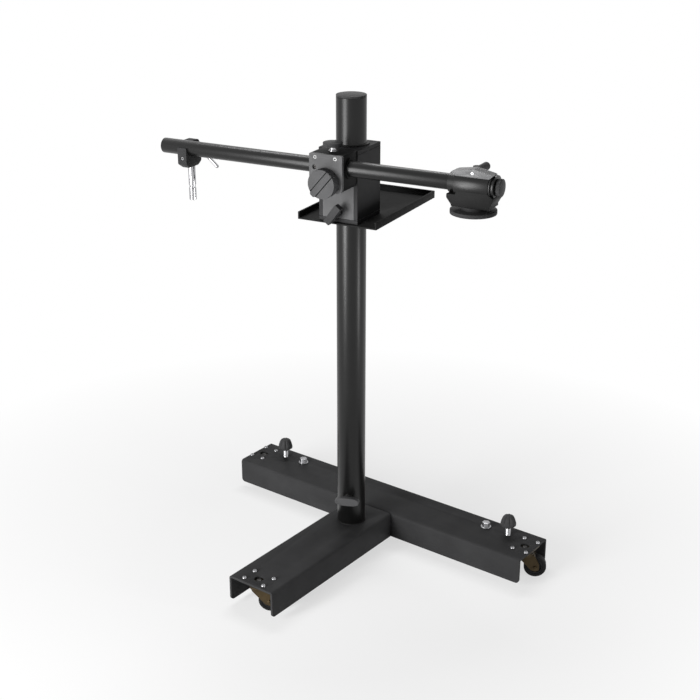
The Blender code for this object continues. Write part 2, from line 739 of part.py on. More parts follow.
def levelling_screw(side, sign, crossbar):
    """A screw that lifts a wheel off the floor, its foot and knob, and its bolted nut bar."""
    x = sign * (BAR_LENGTH / 2 - LEVEL_INSET)
    bolt_x = x - sign * LEVEL_BOLT_STEP
    seat = frame("levelling_" + side, STAND, (x, LEVEL_Y, 0))
    foot_top = FOOT_LIFT + FOOT_HEIGHT
    pocket = FOOT_LIFT + FOOT_FLOOR
    tip = SCREW_TIP_RADIUS
    turned("levelling_foot_" + side, [
        (0, pocket), (tip + GAP, pocket), (tip + GAP, foot_top), (FOOT_RADIUS, foot_top),
        (FOOT_RADIUS, FOOT_LIFT + REACH / 2), (FOOT_RADIUS - REACH / 2, FOOT_LIFT), (0, FOOT_LIFT)],
        seat, UP, MEDIUM, "knob_plastic")
    knob_under = BEAM_TOP + LEVEL_KNOB_RISE
    knob_top = knob_under + LEVEL_KNOB_HEIGHT
    socket = knob_under + LEVEL_SOCKET
    turned("levelling_screw_" + side, [
        (0, socket), (SCREW_RADIUS - GAP, socket), (SCREW_RADIUS, socket - REACH / 2),
        (SCREW_RADIUS, foot_top + GAP), (tip, foot_top + GAP), (tip, pocket + GAP), (0, pocket + GAP)],
        seat, UP, MEDIUM, "chrome")
    skirt = knob_under + LEVEL_KNOB_SKIRT
    knob = turned("levelling_knob_" + side, [
        (0, knob_top), (LEVEL_KNOB_TOP - REACH, knob_top), (LEVEL_KNOB_TOP, knob_top - REACH),
        (LEVEL_KNOB_RADIUS, skirt), (LEVEL_KNOB_RADIUS, knob_under), (SCREW_RADIUS + GAP, knob_under),
        (SCREW_RADIUS + GAP, socket + GAP), (0, socket + GAP)], seat, UP, ROUND, "knob_plastic")
    lean = math.atan2(LEVEL_KNOB_RADIUS - LEVEL_KNOB_TOP, knob_top - REACH - skirt)
    middle = (LEVEL_KNOB_RADIUS + LEVEL_KNOB_TOP) / 2
    for number in range(FLUTES):
        spoke = frame("flute_%s_%d" % (side, number), seat, (0, 0, (skirt + knob_top) / 2),
                      (0, 0, math.tau * number / FLUTES))
        cut(knob, rod("flute_cut_%s_%d" % (side, number), FLUTE_RADIUS, -LEVEL_KNOB_HEIGHT,
                      LEVEL_KNOB_HEIGHT, spoke, (0, -lean, 0), TINY,
                      place=(middle + FLUTE_OUT, 0, 0)))
    inner_x = min(x + sign * NUT_BAR_END, bolt_x - sign * NUT_BAR_END)
    outer_x = max(x + sign * NUT_BAR_END, bolt_x - sign * NUT_BAR_END)
    bar = block("nut_bar_" + side, (inner_x, LEVEL_Y - NUT_BAR_WIDTH / 2, SEAT - NUT_BAR_THICK),
                (outer_x, LEVEL_Y + NUT_BAR_WIDTH / 2, SEAT), STAND, "raw_steel", REACH / 2)
    bolt = frame("hex_bolt_place_" + side, STAND, (bolt_x, LEVEL_Y, 0))
    deep = SEAT - NUT_BAR_THICK - REACH
    for target, low in ((bar, deep), (crossbar, WEB_UNDER - REACH)):
        cut(target, rod(target.name + "_screw_hole_" + side, SCREW_RADIUS + GAP, low, BEAM_TOP + REACH,
                        seat, UP, MEDIUM))
        cut(target, rod(target.name + "_bolt_hole_" + side, HEX_BOLT_RADIUS + GAP, low, BEAM_TOP + REACH,
                        bolt, UP))
    washer = BEAM_TOP + GAP
    hex_bolt = turned("hex_bolt_" + side, [
        (0, washer + WASHER_THICK + REACH), (HEX_BOLT_RADIUS, washer + WASHER_THICK + REACH),
        (HEX_BOLT_RADIUS, washer + WASHER_THICK), (WASHER_RADIUS, washer + WASHER_THICK),
        (WASHER_RADIUS, washer), (HEX_BOLT_RADIUS, washer), (HEX_BOLT_RADIUS, deep - HEX_BOLT_TAIL),
        (0, deep - HEX_BOLT_TAIL)], bolt, UP, MEDIUM, "raw_steel")
    join(hex_bolt, rod("hex_head_" + side, HEX_ACROSS / math.sqrt(3.0), washer + WASHER_THICK / 2,
                       washer + WASHER_THICK + HEX_HEIGHT, bolt, UP, HEXAGON))


def column():
    """The fixed post under the leg's web, its two bushes, and the column that turns on them."""
    post_top = BEAM_TOP + POST_HEIGHT
    inner = POST_RADIUS - POST_WALL
    turned("base_post", [
        (POST_RADIUS, post_top), (POST_RADIUS, SEAT), (POST_FLANGE_RADIUS, SEAT),
        (POST_FLANGE_RADIUS, SEAT - POST_FLANGE_THICK), (inner, SEAT - POST_FLANGE_THICK),
        (inner, post_top)], STAND, UP, ROUND, "base_paint", hollow=True)
    sleeve = COLUMN_INNER - GAP
    bore = POST_RADIUS + GAP
    low = BEAM_TOP + GAP
    turned("column_bush_lower", [
        (sleeve, low + BUSH_LENGTH), (sleeve, low + BUSH_FLANGE), (COLUMN_RADIUS - GAP, low + BUSH_FLANGE),
        (COLUMN_RADIUS - GAP, low), (bore, low), (bore, low + BUSH_LENGTH)],
        STAND, UP, ROUND, "bush_nylon", hollow=True)
    lip = post_top + GAP
    turned("column_bush_upper", [
        (sleeve, lip + UPPER_BUSH_LIP), (sleeve, lip - UPPER_BUSH_LENGTH), (bore, lip - UPPER_BUSH_LENGTH),
        (bore, lip), (inner, lip), (inner, lip + UPPER_BUSH_LIP)], STAND, UP, ROUND, "bush_nylon",
        hollow=True)
    tube_top = COLUMN_TOP - CAP_THICK - GAP
    tube = turned("column_tube", [
        (COLUMN_RADIUS, tube_top), (COLUMN_RADIUS, COLUMN_FOOT), (COLUMN_INNER, COLUMN_FOOT),
        (COLUMN_INNER, tube_top)], UPPER, UP, FINE, "column_paint", hollow=True)
    turned("column_cap", [
        (0, COLUMN_TOP), (COLUMN_RADIUS - REACH / 2, COLUMN_TOP), (COLUMN_RADIUS, COLUMN_TOP - REACH / 2),
        (COLUMN_RADIUS, COLUMN_TOP - CAP_THICK), (sleeve, COLUMN_TOP - CAP_THICK),
        (sleeve, COLUMN_TOP - CAP_THICK - CAP_PLUG), (0, COLUMN_TOP - CAP_THICK - CAP_PLUG)],
        UPPER, UP, FINE, "knob_plastic")
    lock = frame("column_lock", UPPER, (0, 0, BEAM_TOP + LOCK_HEIGHT), (0, 0, LOCK_TURN))
    boss_root = COLUMN_RADIUS - LOCK_BOSS_SINK
    join(tube, rod("lock_boss", LOCK_BOSS_RADIUS, boss_root, LOCK_BOSS_REACH, lock, FRONT, MEDIUM))
    cut(tube, rod("lock_bore", LOCK_PAD_RADIUS + GAP, POST_RADIUS, LOCK_BOSS_REACH + REACH, lock, FRONT))
    pad_back = LOCK_BOSS_REACH - LOCK_PAD_SINK
    rod("column_lock_pad", LOCK_PAD_RADIUS, bore, pad_back, lock, FRONT, SMALL, "brass")
    hub_back = LOCK_BOSS_REACH + GAP
    wing_inside = LOCK_WING_BACK + REACH
    knob = turned("column_lock_knob", [
        (0, wing_inside), (LOCK_HUB_RADIUS, wing_inside), (LOCK_HUB_RADIUS, hub_back),
        (LOCK_STUD_RADIUS, hub_back), (LOCK_STUD_RADIUS, pad_back + GAP), (0, pad_back + GAP)],
        lock, FRONT, MEDIUM, "knob_plastic")
    power = 2.0 / LOCK_WING_POWER
    oval = []
    for i in range(ROUND):
        angle = math.tau * i / ROUND
        across, up = math.cos(angle), math.sin(angle)
        oval.append((math.copysign(abs(across) ** power, across) * LOCK_WING_LONG / 2,
                     math.copysign(abs(up) ** power, up) * LOCK_WING_HIGH / 2))
    join(knob, prism("lock_wing", [oval], LOCK_WING_BACK, LOCK_WING_FACE, lock, FRONT))


def carriage_box(carriage):
    """Six plates screwed into a box, and the two bushes that slide on the column."""
    half = CARRIAGE_HALF
    inside = half - PLATE - GAP
    top = CARRIAGE_HEIGHT
    low = PLATE + GAP
    high = top - PLATE - GAP
    paint = "machined_black"
    ends = ((0, PLATE, "carriage_bottom_plate"), (top - PLATE, top, "carriage_top_plate"))
    for under, over, name in ends:
        plate = block(name, (-half, -CARRIAGE_FRONT, under), (half, CARRIAGE_REAR, over), carriage, paint,
                      PLATE_EDGE)
        cut(plate, rod(name + "_hole", GUIDE_OUTER + GAP, under - REACH, over + REACH, carriage, UP, FINE))
    block("carriage_left_plate", (-half, -CARRIAGE_FRONT, low), (PLATE - half, CARRIAGE_REAR, high),
          carriage, paint, PLATE_EDGE)
    block("carriage_right_plate", (half - PLATE, -CARRIAGE_FRONT, low), (half, CARRIAGE_REAR, high),
          carriage, paint, PLATE_EDGE)
    block("carriage_rear_plate", (-inside, CARRIAGE_REAR - PLATE, low), (inside, CARRIAGE_REAR, high),
          carriage, paint, PLATE_EDGE)
    front = block("carriage_front_plate", (-inside, -CARRIAGE_FRONT, low),
                  (inside, PLATE - CARRIAGE_FRONT, high), carriage, paint, PLATE_EDGE)
    back = CARRIAGE_FRONT - PLATE - REACH
    cut(front, rod("tilt_bolt_hole", TILT_BOLT_RADIUS + GAP, back, CARRIAGE_FRONT + REACH, carriage, FRONT,
                   MEDIUM, place=(TILT_X, 0, TILT_RISE)))
    cut(front, rod("brake_stem_hole", BRAKE_STEM_RADIUS + GAP, back, CARRIAGE_FRONT + REACH, carriage, FRONT,
                   MEDIUM, place=(0, 0, BRAKE_RISE)))
    flange = low + GUIDE_FLANGE_THICK
    turned("guide_bush_lower", [
        (GUIDE_FLANGE, flange), (GUIDE_FLANGE, low), (GUIDE_OUTER, low), (GUIDE_OUTER, GAP),
        (GUIDE_BORE, GAP), (GUIDE_BORE, flange)], carriage, UP, FINE, "bush_nylon", hollow=True)
    collar = top + GAP
    turned("guide_bush_upper", [
        (GUIDE_COLLAR, collar + GUIDE_FLANGE_THICK), (GUIDE_COLLAR, collar), (GUIDE_OUTER, collar),
        (GUIDE_OUTER, collar - GUIDE_DEPTH), (GUIDE_BORE, collar - GUIDE_DEPTH),
        (GUIDE_BORE, collar + GUIDE_FLANGE_THICK)], carriage, UP, FINE, "bush_nylon", hollow=True)


def tray(carriage):
    """A folded sheet under the carriage, with lips and hems on three sides and a hole for the column."""
    depth = TRAY_FRONT + TRAY_REAR
    form = bmesh.new()
    bmesh.ops.create_grid(form, x_segments=1, y_segments=1, size=0.5)
    bmesh.ops.scale(form, vec=(2 * TRAY_HALF, depth, 1), verts=form.verts)
    bmesh.ops.translate(form, vec=(0, (TRAY_REAR - TRAY_FRONT) / 2, -GAP - TRAY_SHEET), verts=form.verts)
    form.edges.ensure_lookup_table()
    raised = [edge for edge in form.edges if max(vert.co.y for vert in edge.verts) > 0]
    lip = bmesh.ops.extrude_edge_only(form, edges=raised)["geom"]
    rim = [item for item in lip if isinstance(item, bmesh.types.BMVert)]
    bmesh.ops.translate(form, vec=(0, 0, TRAY_LIP), verts=rim)
    top_edges = [edge for edge in form.edges if all(vert in rim for vert in edge.verts)]
    hem = bmesh.ops.extrude_edge_only(form, edges=top_edges)["geom"]
    for vert in (item for item in hem if isinstance(item, bmesh.types.BMVert)):
        vert.co.x -= math.copysign(TRAY_HEM, vert.co.x)
        if vert.co.y > 0:
            vert.co.y -= TRAY_HEM
    bmesh.ops.recalc_face_normals(form, faces=form.faces)
    mesh = bpy.data.meshes.new("tray")
    form.to_mesh(mesh)
    form.free()
    sheet = place_mesh("tray", mesh, carriage, (0, 0, 0), UP, "machined_black")
    wall = sheet.modifiers.new("sheet", "SOLIDIFY")
    wall.thickness = TRAY_SHEET
    wall.use_even_offset = True
    floor_up = mesh.polygons[0].normal.z > 0
    wall.offset = 1.0 if floor_up else -1.0
    cut(sheet, rod("tray_hole", GUIDE_BORE + TRAY_HOLE_PLAY, -2 * TRAY_SHEET, TRAY_SHEET, carriage, UP,
                   FINE))


def brake(carriage):
    """The shoe that grips the column and the T-shaped knob that drives it."""
    shoe = block("brake_shoe", (-SHOE_WIDE / 2, -SHOE_FRONT, BRAKE_RISE - SHOE_HIGH / 2),
                 (SHOE_WIDE / 2, -SHOE_CHEEK, BRAKE_RISE + SHOE_HIGH / 2), carriage, "brass")
    cut(shoe, rod("shoe_face", COLUMN_RADIUS + GAP, 0, 2 * BRAKE_RISE, carriage, UP, FINE))
    knob_frame = frame("brake_knob_axis", carriage, (0, 0, BRAKE_RISE))
    hub_back = CARRIAGE_FRONT + GAP
    bar_back = BRAKE_FACE - BRAKE_BAR_THICK
    knob = turned("brake_knob", [
        (0, bar_back + REACH), (BRAKE_HUB_RADIUS, bar_back + REACH), (BRAKE_HUB_RADIUS, hub_back),
        (BRAKE_STEM_RADIUS, hub_back), (BRAKE_STEM_RADIUS, SHOE_FRONT + GAP), (0, SHOE_FRONT + GAP)],
        knob_frame, FRONT, MEDIUM, "knob_plastic")
    outline = tilted(rectangle(BRAKE_BAR_LONG / 2, BRAKE_BAR_HIGH / 2, BRAKE_BAR_CORNER), BRAKE_BAR_TILT)
    join(knob, prism("brake_bar", [outline], bar_back, BRAKE_FACE, knob_frame, FRONT))


def clamp(carriage, clamp_frame):
    """The block that holds the arm, its face plate, bushes, tilt bolt with knob and arm lock."""
    outline = rounded([
        (-BLOCK_HALF, -BLOCK_BELOW, BLOCK_FOOT_CORNER), (BLOCK_HALF, -BLOCK_BELOW, BLOCK_FOOT_CORNER),
        (BLOCK_HALF, BLOCK_ABOVE, BLOCK_CORNER), (-BLOCK_HALF, BLOCK_ABOVE, BLOCK_CORNER)])
    body = prism("clamp_block", [outline], BLOCK_BACK, BLOCK_FRONT, clamp_frame, FRONT, "machined_black")
    face_back = BLOCK_FRONT + GAP
    face = prism("clamp_front_plate", [outline, circle(TILT_BOLT_RADIUS + GAP, sides=MEDIUM),
                                       circle(KEY_HOLE_RADIUS, KEY_HOLE_X, KEY_HOLE_Z)],
                 face_back, face_back + FACE_PLATE, clamp_frame, FRONT, "machined_black")
    sink = face_back + FACE_PLATE - FACE_SCREW_SINK
    cut(face, rods("face_screw_sinks", FACE_SCREW_HOLE, sink, sink + 2 * FACE_SCREW_SINK, FACE_SCREWS,
                   clamp_frame, FRONT, TINY, tip=2 * FACE_SCREW_RADIUS - FACE_SCREW_HOLE))
    sleeve = ARM_BORE + ARM_BUSH_WALL
    arm_centre = (0, -ARM_FORWARD, ARM_RISE)
    cut(body, rod("arm_bore", sleeve + GAP, -BLOCK_HALF - REACH, BLOCK_HALF + REACH, clamp_frame, RIGHT,
                  ROUND, place=arm_centre))
    cut(body, rod("tilt_bore", TILT_BOLT_RADIUS + GAP, BLOCK_BACK - REACH, BLOCK_FRONT + REACH, clamp_frame,
                  FRONT, MEDIUM))
    cut(body, rod("arm_lock_bore", ARM_LOCK_STUD + GAP, ARM_RISE, BLOCK_ABOVE + REACH, clamp_frame, UP,
                  place=(0, -ARM_FORWARD, 0)))
    inner_end = BLOCK_HALF - ARM_BUSH_LONG
    outer_end = BLOCK_HALF + GAP
    lip = outer_end + ARM_BUSH_LIP
    for name, facing in (("arm_bush_right", RIGHT), ("arm_bush_left", (0, -math.pi / 2, 0))):
        turned(name, [
            (ARM_BUSH_LIP_RADIUS, lip), (ARM_BUSH_LIP_RADIUS, outer_end), (sleeve, outer_end),
            (sleeve, inner_end), (ARM_BORE, inner_end), (ARM_BORE, lip)], clamp_frame, facing, ROUND,
            "bush_nylon", place=arm_centre, hollow=True)

    tilt = frame("tilt_axis", carriage, (TILT_X, 0, TILT_RISE))
    shaft = TILT_BOLT_RADIUS
    knob_back = face_back + FACE_PLATE + GAP
    tip = knob_back + TILT_KNOB_SOCKET - GAP
    washer = CARRIAGE_FRONT + GAP
    head_front = CARRIAGE_FRONT - PLATE - GAP
    bolt = turned("tilt_bolt", [
        (0, tip), (shaft - REACH / 4, tip), (shaft, tip - REACH / 4), (shaft, washer + FRICTION_THICK),
        (FRICTION_RADIUS, washer + FRICTION_THICK), (FRICTION_RADIUS, washer), (shaft, washer),
        (shaft, head_front - REACH), (0, head_front - REACH)], tilt, FRONT, MEDIUM, "raw_steel")
    join(bolt, rod("tilt_bolt_head", TILT_HEAD_RADIUS, head_front - TILT_HEAD_THICK, head_front, tilt, FRONT,
                   HEXAGON))
    face_at = TILT_KNOB_FACE
    knob = turned("tilt_knob", [
        (0, face_at), (TILT_KNOB_RADIUS - TILT_KNOB_EDGE, face_at),
        (TILT_KNOB_RADIUS, face_at - TILT_KNOB_EDGE), (TILT_KNOB_RADIUS, knob_back),
        (shaft + GAP, knob_back), (shaft + GAP, tip + GAP), (0, tip + GAP)],
        tilt, FRONT, ROUND, "knob_plastic")
    wide = TILT_BAR_WIDE / 2
    nose = wide * TILT_BAR_NOSE
    heel = wide * TILT_BAR_HEEL
    bar = rounded([(-TILT_BAR_OUT, -wide, nose), (TILT_BAR_IN, -wide, heel),
                   (TILT_BAR_IN, wide, heel), (-TILT_BAR_OUT, wide, nose)])
    groove_floor = face_at - GROOVE_DEEP
    for sign in (-1, 1):
        middle = sign * (wide + GROOVE_WIDE / 2)
        slot = [(-TILT_BAR_OUT, middle - GROOVE_WIDE / 2), (TILT_BAR_OUT, middle - GROOVE_WIDE / 2),
                (TILT_BAR_OUT, middle + GROOVE_WIDE / 2), (-TILT_BAR_OUT, middle + GROOVE_WIDE / 2)]
        cut(knob, prism("knob_groove_%d" % sign, [tilted(slot, TILT_BAR_TURN)], groove_floor,
                        face_at + REACH, tilt, FRONT))
    join(knob, prism("knob_bar", [tilted(bar, TILT_BAR_TURN)], groove_floor - REACH,
                     face_at + TILT_BAR_PROUD, tilt, FRONT))

    arm_top = ARM_RISE + ARM_RADIUS + GAP
    top = ARM_LOCK_TOP
    under = top - ARM_LOCK_THICK
    seat = BLOCK_ABOVE + GAP
    edge = REACH / 2
    turned("arm_lock_knob", [
        (0, top), (ARM_LOCK_RADIUS - edge, top), (ARM_LOCK_RADIUS, top - edge),
        (ARM_LOCK_RADIUS, under + edge), (ARM_LOCK_RADIUS - edge, under), (ARM_LOCK_COLLAR, under),
        (ARM_LOCK_COLLAR, under - REACH), (ARM_LOCK_STUD, under - REACH), (ARM_LOCK_STUD, seat + 2 * REACH),
        (ARM_LOCK_COLLAR, seat + 2 * REACH), (ARM_LOCK_COLLAR, seat + REACH),
        (ARM_LOCK_WASHER, seat + REACH), (ARM_LOCK_WASHER, seat), (ARM_LOCK_STUD, seat),
        (ARM_LOCK_STUD, arm_top), (0, arm_top)],
        frame("arm_lock_axis", clamp_frame, (0, -ARM_FORWARD, 0)), UP, ROUND, "knob_plastic")


def arm_pieces(arm):
    """The cross arm's tube and the cap in its left end."""
    inner = ARM_RADIUS - ARM_WALL
    turned("arm_tube", [
        (ARM_RADIUS, ARM_RIGHT), (ARM_RADIUS, ARM_LEFT), (inner, ARM_LEFT), (inner, ARM_RIGHT)],
        arm, RIGHT, ROUND, "column_paint", hollow=True)
    cap_right = ARM_LEFT - GAP
    cap_left = cap_right - ARM_CAP
    turned("arm_end_cap", [
        (0, cap_right + ARM_CAP_PLUG), (inner - GAP, cap_right + ARM_CAP_PLUG), (inner - GAP, cap_right),
        (ARM_RADIUS, cap_right), (ARM_RADIUS, cap_left + REACH / 2), (ARM_RADIUS - REACH / 2, cap_left),
        (0, cap_left)], arm, RIGHT, ROUND, "knob_plastic")


def stud_bracket(slide):
    """The saddle under the arm, its light stud and the bar handle that clamps it."""
    outline = rounded([
        (-BRACKET_FRONT, BRACKET_CHEEK), (-BRACKET_FRONT, BRACKET_TAPER_Z, BRACKET_CORNER),
        (-BRACKET_FOOT_FRONT, BRACKET_FOOT_Z, BRACKET_FOOT_CORNER),
        (BRACKET_FOOT_REAR, BRACKET_FOOT_Z, BRACKET_FOOT_CORNER),
        (BRACKET_REAR, BRACKET_TAPER_Z, BRACKET_CORNER), (BRACKET_REAR, BRACKET_CHEEK, BRACKET_HOOK_CORNER),
        (BRACKET_REAR - BRACKET_HOOK_SLOPE, BRACKET_HOOK, BRACKET_HOOK_CORNER),
        (BRACKET_HOOK_Y, BRACKET_HOOK), (BRACKET_HOOK_Y, BRACKET_CHEEK)], FEW_STEPS)
    body = prism("stud_bracket", [outline], -BRACKET_HALF, BRACKET_HALF, slide, ALONG_X, "machined_black")
    over = BRACKET_HOOK + REACH
    front_view = [(-BRACKET_HALF - REACH, over), (-BRACKET_HALF - REACH, BRACKET_TAPER_Z + REACH),
                  (-BRACKET_FOOT_HALF, BRACKET_FOOT_Z - REACH), (BRACKET_FOOT_HALF, BRACKET_FOOT_Z - REACH),
                  (BRACKET_HALF + REACH, BRACKET_TAPER_Z + REACH), (BRACKET_HALF + REACH, over)]
    keep(body, prism("bracket_view", [front_view], -BRACKET_REAR - REACH, BRACKET_FRONT + REACH, slide,
                     FRONT))
    cut(body, rod("saddle", ARM_BORE, -BRACKET_HALF - REACH, BRACKET_HALF + REACH, slide, RIGHT, ROUND))
    cut(body, rod("lever_screw_hole", LEVER_SCREW_RADIUS + GAP, ARM_RADIUS - 2 * REACH, BRACKET_REAR + REACH,
                  slide, BACK, place=(0, 0, -LEVER_DROP)))
    spigot = BRACKET_FOOT_Z + LIGHT_STUD_SPIGOT_LONG
    cut(body, rod("spigot_hole", LIGHT_STUD_SPIGOT + GAP, BRACKET_FOOT_Z - REACH, spigot + GAP, slide, UP,
                  place=(0, LIGHT_STUD_BACK, 0)))
    cut(body, rod("bracket_bolt_sink", BRACKET_BOLT_RADIUS, BRACKET_FRONT - BRACKET_BOLT_SINK,
                  BRACKET_FRONT + REACH, slide, FRONT, place=(0, 0, BRACKET_BOLT_Z)))
    radius = LIGHT_STUD_RADIUS
    waist = radius - LIGHT_STUD_GROOVE
    shoulder = BRACKET_FOOT_Z - GAP
    end = BRACKET_FOOT_Z - LIGHT_STUD_DROP
    groove = end + LIGHT_STUD_GROOVE_RISE
    turned("light_stud", [
        (0, spigot), (LIGHT_STUD_SPIGOT, spigot), (LIGHT_STUD_SPIGOT, shoulder), (radius, shoulder),
        (radius, groove + radius / 2), (waist, groove + radius / 3), (waist, groove - radius / 3),
        (radius, groove - radius / 2), (radius, end + REACH / 2), (radius - REACH / 2, end), (0, end)],
        slide, UP, MEDIUM, "chrome", place=(0, LIGHT_STUD_BACK, 0))
    lever = frame("bracket_lever_axis", slide, (0, 0, -LEVER_DROP))
    hub_front = BRACKET_REAR + GAP
    hub_back = hub_front + LEVER_HUB_LONG
    press = ARM_RADIUS + GAP
    handle = turned("bracket_lever", [
        (0, hub_back), (LEVER_HUB_RADIUS - REACH / 2, hub_back), (LEVER_HUB_RADIUS, hub_back - REACH / 2),
        (LEVER_HUB_RADIUS, hub_front), (LEVER_SCREW_RADIUS, hub_front), (LEVER_SCREW_RADIUS, press),
        (0, press)], lever, BACK, MEDIUM, "chrome")
    ball = LEVER_BAR_RADIUS
    dome = [(ball * math.sin(a), LEVER_BAR_LONG - ball + ball * math.cos(a)) for a in DOME]
    tail = [(ball * math.cos(a), ball - LEVER_BAR_BACK - ball * math.sin(a)) for a in DOME]
    join(handle, turned("lever_bar", dome + tail, lever, (0, LEVER_BAR_TURN, 0), SMALL,
                        place=(0, (hub_front + hub_back) / 2, 0)))


def head(head_frame):
    """The rolling head: barrel and neck, fairing, grip lever, end knob and camera disc."""
    groove = BARREL_RADIUS - RING_GROOVE
    plate = END_PLATE_RADIUS
    body = turned("head_body", [
        (0, END_PLATE_X), (plate - REACH / 2, END_PLATE_X), (plate, END_PLATE_X - REACH / 2),
        (plate, END_PLATE_BACK), (plate - REACH / 2, END_PLATE_BACK - RING_SLOPE),
        (plate - REACH / 2, RING_RIGHT + RING_SLOPE), (BARREL_RADIUS, RING_RIGHT),
        (BARREL_RADIUS, RING_LEFT), (groove, RING_LEFT - RING_SLOPE), (groove, BARREL_RIGHT + GAP),
        (BARREL_RADIUS, BARREL_RIGHT), (BARREL_RADIUS, BARREL_LEFT),
        (COLLAR_RADIUS, BARREL_LEFT - RING_SLOPE),
        (COLLAR_RADIUS, COLLAR_LEFT + REACH / 2), (COLLAR_RADIUS - REACH / 2, COLLAR_LEFT),
        (ARM_BORE, COLLAR_LEFT), (ARM_BORE, HEAD_BORE_END), (0, HEAD_BORE_END)],
        head_frame, RIGHT, ROUND, "machined_black")
    neck = rounded([
        (NECK_LEFT, NECK_SHOULDER), (NECK_LEFT, NECK_WAIST, NECK_CORNER),
        (NECK_FOOT_LEFT, NECK_FOOT_LEFT_TOP, NECK_CORNER), (NECK_FOOT_LEFT, NECK_FOOT),
        (NECK_FOOT_RIGHT, NECK_FOOT), (NECK_FOOT_RIGHT, NECK_FOOT_TOP, NECK_CORNER),
        (NECK_RIGHT, NECK_WAIST, NECK_CORNER), (NECK_RIGHT, NECK_SHOULDER), (BARREL_RIGHT, NECK_INSIDE),
        (HEAD_BORE_END + REACH, NECK_INSIDE), (HEAD_BORE_END, NECK_SHOULDER)], FEW_STEPS)
    join(body, prism("neck", [neck], -NECK_HALF, NECK_HALF, head_frame, FRONT))
    spigot_top = NECK_FOOT + DISC_SPIGOT_LONG
    cut(body, rod("disc_spigot_hole", DISC_SPIGOT_RADIUS + GAP, NECK_FOOT - REACH, spigot_top + GAP,
                  head_frame, UP, MEDIUM))
    grip_place = (GRIP_X, GRIP_Y, 0)
    join(body, rod("grip_boss", GRIP_BOSS_RADIUS, GRIP_BOSS_TOP - GRIP_BOSS_LONG, GRIP_BOSS_TOP, head_frame,
                   UP, MEDIUM, place=grip_place))
    cut(body, rod("grip_hole", LEVER_SCREW_RADIUS + GAP, GRIP_BOSS_TOP - GRIP_HOLE_LONG,
                  GRIP_BOSS_TOP + REACH, head_frame, UP, place=grip_place))
    cut(body, rod("end_knob_hole", END_KNOB_STUD + GAP, END_PLATE_X - END_KNOB_STUD_LONG - GAP,
                  END_PLATE_X + REACH, head_frame, RIGHT))

    outline = [
        (FAIRING_SKIRT_LEFT, FAIRING_SKIRT), (BARREL_RIGHT, FAIRING_SKIRT), (FAIRING_RIGHT, FAIRING_TIP),
        (FAIRING_PEAK_X, FAIRING_PEAK), (BARREL_LEFT, FAIRING_BROW), (FAIRING_LEFT, FAIRING_TIP)]
    fairing = prism("head_fairing", [outline], -FAIRING_REAR, FAIRING_FRONT, head_frame, FRONT,
                    "machined_black")
    cut(fairing, rod("fairing_seat", BARREL_RADIUS + GAP, FAIRING_LEFT - REACH, FAIRING_RIGHT + REACH,
                     head_frame, RIGHT, FINE))
    cut(fairing, rod("fairing_screw_sink", FAIRING_SCREW_RADIUS, FAIRING_FRONT - REACH / 2,
                     FAIRING_FRONT + REACH, head_frame, FRONT,
                     place=(REACH, 0, (FAIRING_SKIRT + FAIRING_PEAK) / 2)))
    slope = math.atan2(FAIRING_TIP - FAIRING_PEAK, FAIRING_RIGHT - FAIRING_PEAK_X)
    run = math.hypot(FAIRING_TIP - FAIRING_PEAK, FAIRING_RIGHT - FAIRING_PEAK_X)
    depth = FAIRING_FRONT + FAIRING_REAR
    ramp = frame("fairing_ramp", head_frame, (FAIRING_PEAK_X, -FAIRING_FRONT, FAIRING_PEAK), (0, -slope, 0))
    for number in range(FAIRING_GROOVES):
        middle = depth * (number + 1) / (FAIRING_GROOVES + 1)
        cut(fairing, block("fairing_groove_%d" % number,
                           (REACH, middle - FAIRING_GROOVE_WIDE / 2, -FAIRING_GROOVE_DEEP),
                           (run - 2 * REACH, middle + FAIRING_GROOVE_WIDE / 2, REACH), ramp))

    disc = frame("mount_disc_axis", head_frame)
    high = NECK_FOOT - GAP
    boss_under = high - DISC_BOSS_HIGH
    under = boss_under - DISC_THICK
    turned("mount_disc", [
        (0, spigot_top), (DISC_SPIGOT_RADIUS, spigot_top), (DISC_SPIGOT_RADIUS, high),
        (DISC_BOSS_RADIUS, high), (DISC_BOSS_RADIUS, boss_under), (DISC_RADIUS - DISC_EDGE, boss_under),
        (DISC_RADIUS, boss_under - DISC_EDGE), (DISC_RADIUS, under + DISC_EDGE),
        (DISC_RADIUS - DISC_EDGE, under), (CAMERA_SCREW_RADIUS, under),
        (CAMERA_SCREW_RADIUS, under - CAMERA_SCREW_LONG + REACH / 2),
        (CAMERA_SCREW_RADIUS - REACH / 2, under - CAMERA_SCREW_LONG), (0, under - CAMERA_SCREW_LONG)],
        disc, UP, ROUND, "machined_black")

    grip = frame("head_lever_axis", head_frame, grip_place)
    hub_low = GRIP_BOSS_TOP + GAP
    hub_top = hub_low + GRIP_HUB_HIGH
    stud_end = hub_low - GRIP_STUD_LONG
    lever = turned("head_lever", [
        (0, hub_top), (GRIP_HUB_RADIUS - REACH / 2, hub_top), (GRIP_HUB_RADIUS, hub_top - REACH / 2),
        (GRIP_HUB_RADIUS, hub_low), (LEVER_SCREW_RADIUS, hub_low), (LEVER_SCREW_RADIUS, stud_end),
        (0, stud_end)], grip, UP, MEDIUM, "knob_plastic")
    end = [(GRIP_END * math.sin(a), GRIP_LONG - GRIP_END_LONG + GRIP_END_LONG * math.cos(a))
           for a in GRIP_DOME]
    join(lever, turned("grip", end + [(GRIP_ROOT, GRIP_HUB_RADIUS), (GRIP_ROOT, 0), (0, 0)], grip,
                       (-math.pi / 2 - GRIP_DROOP, 0, 0), MEDIUM, place=(0, 0, (hub_low + hub_top) / 2)))

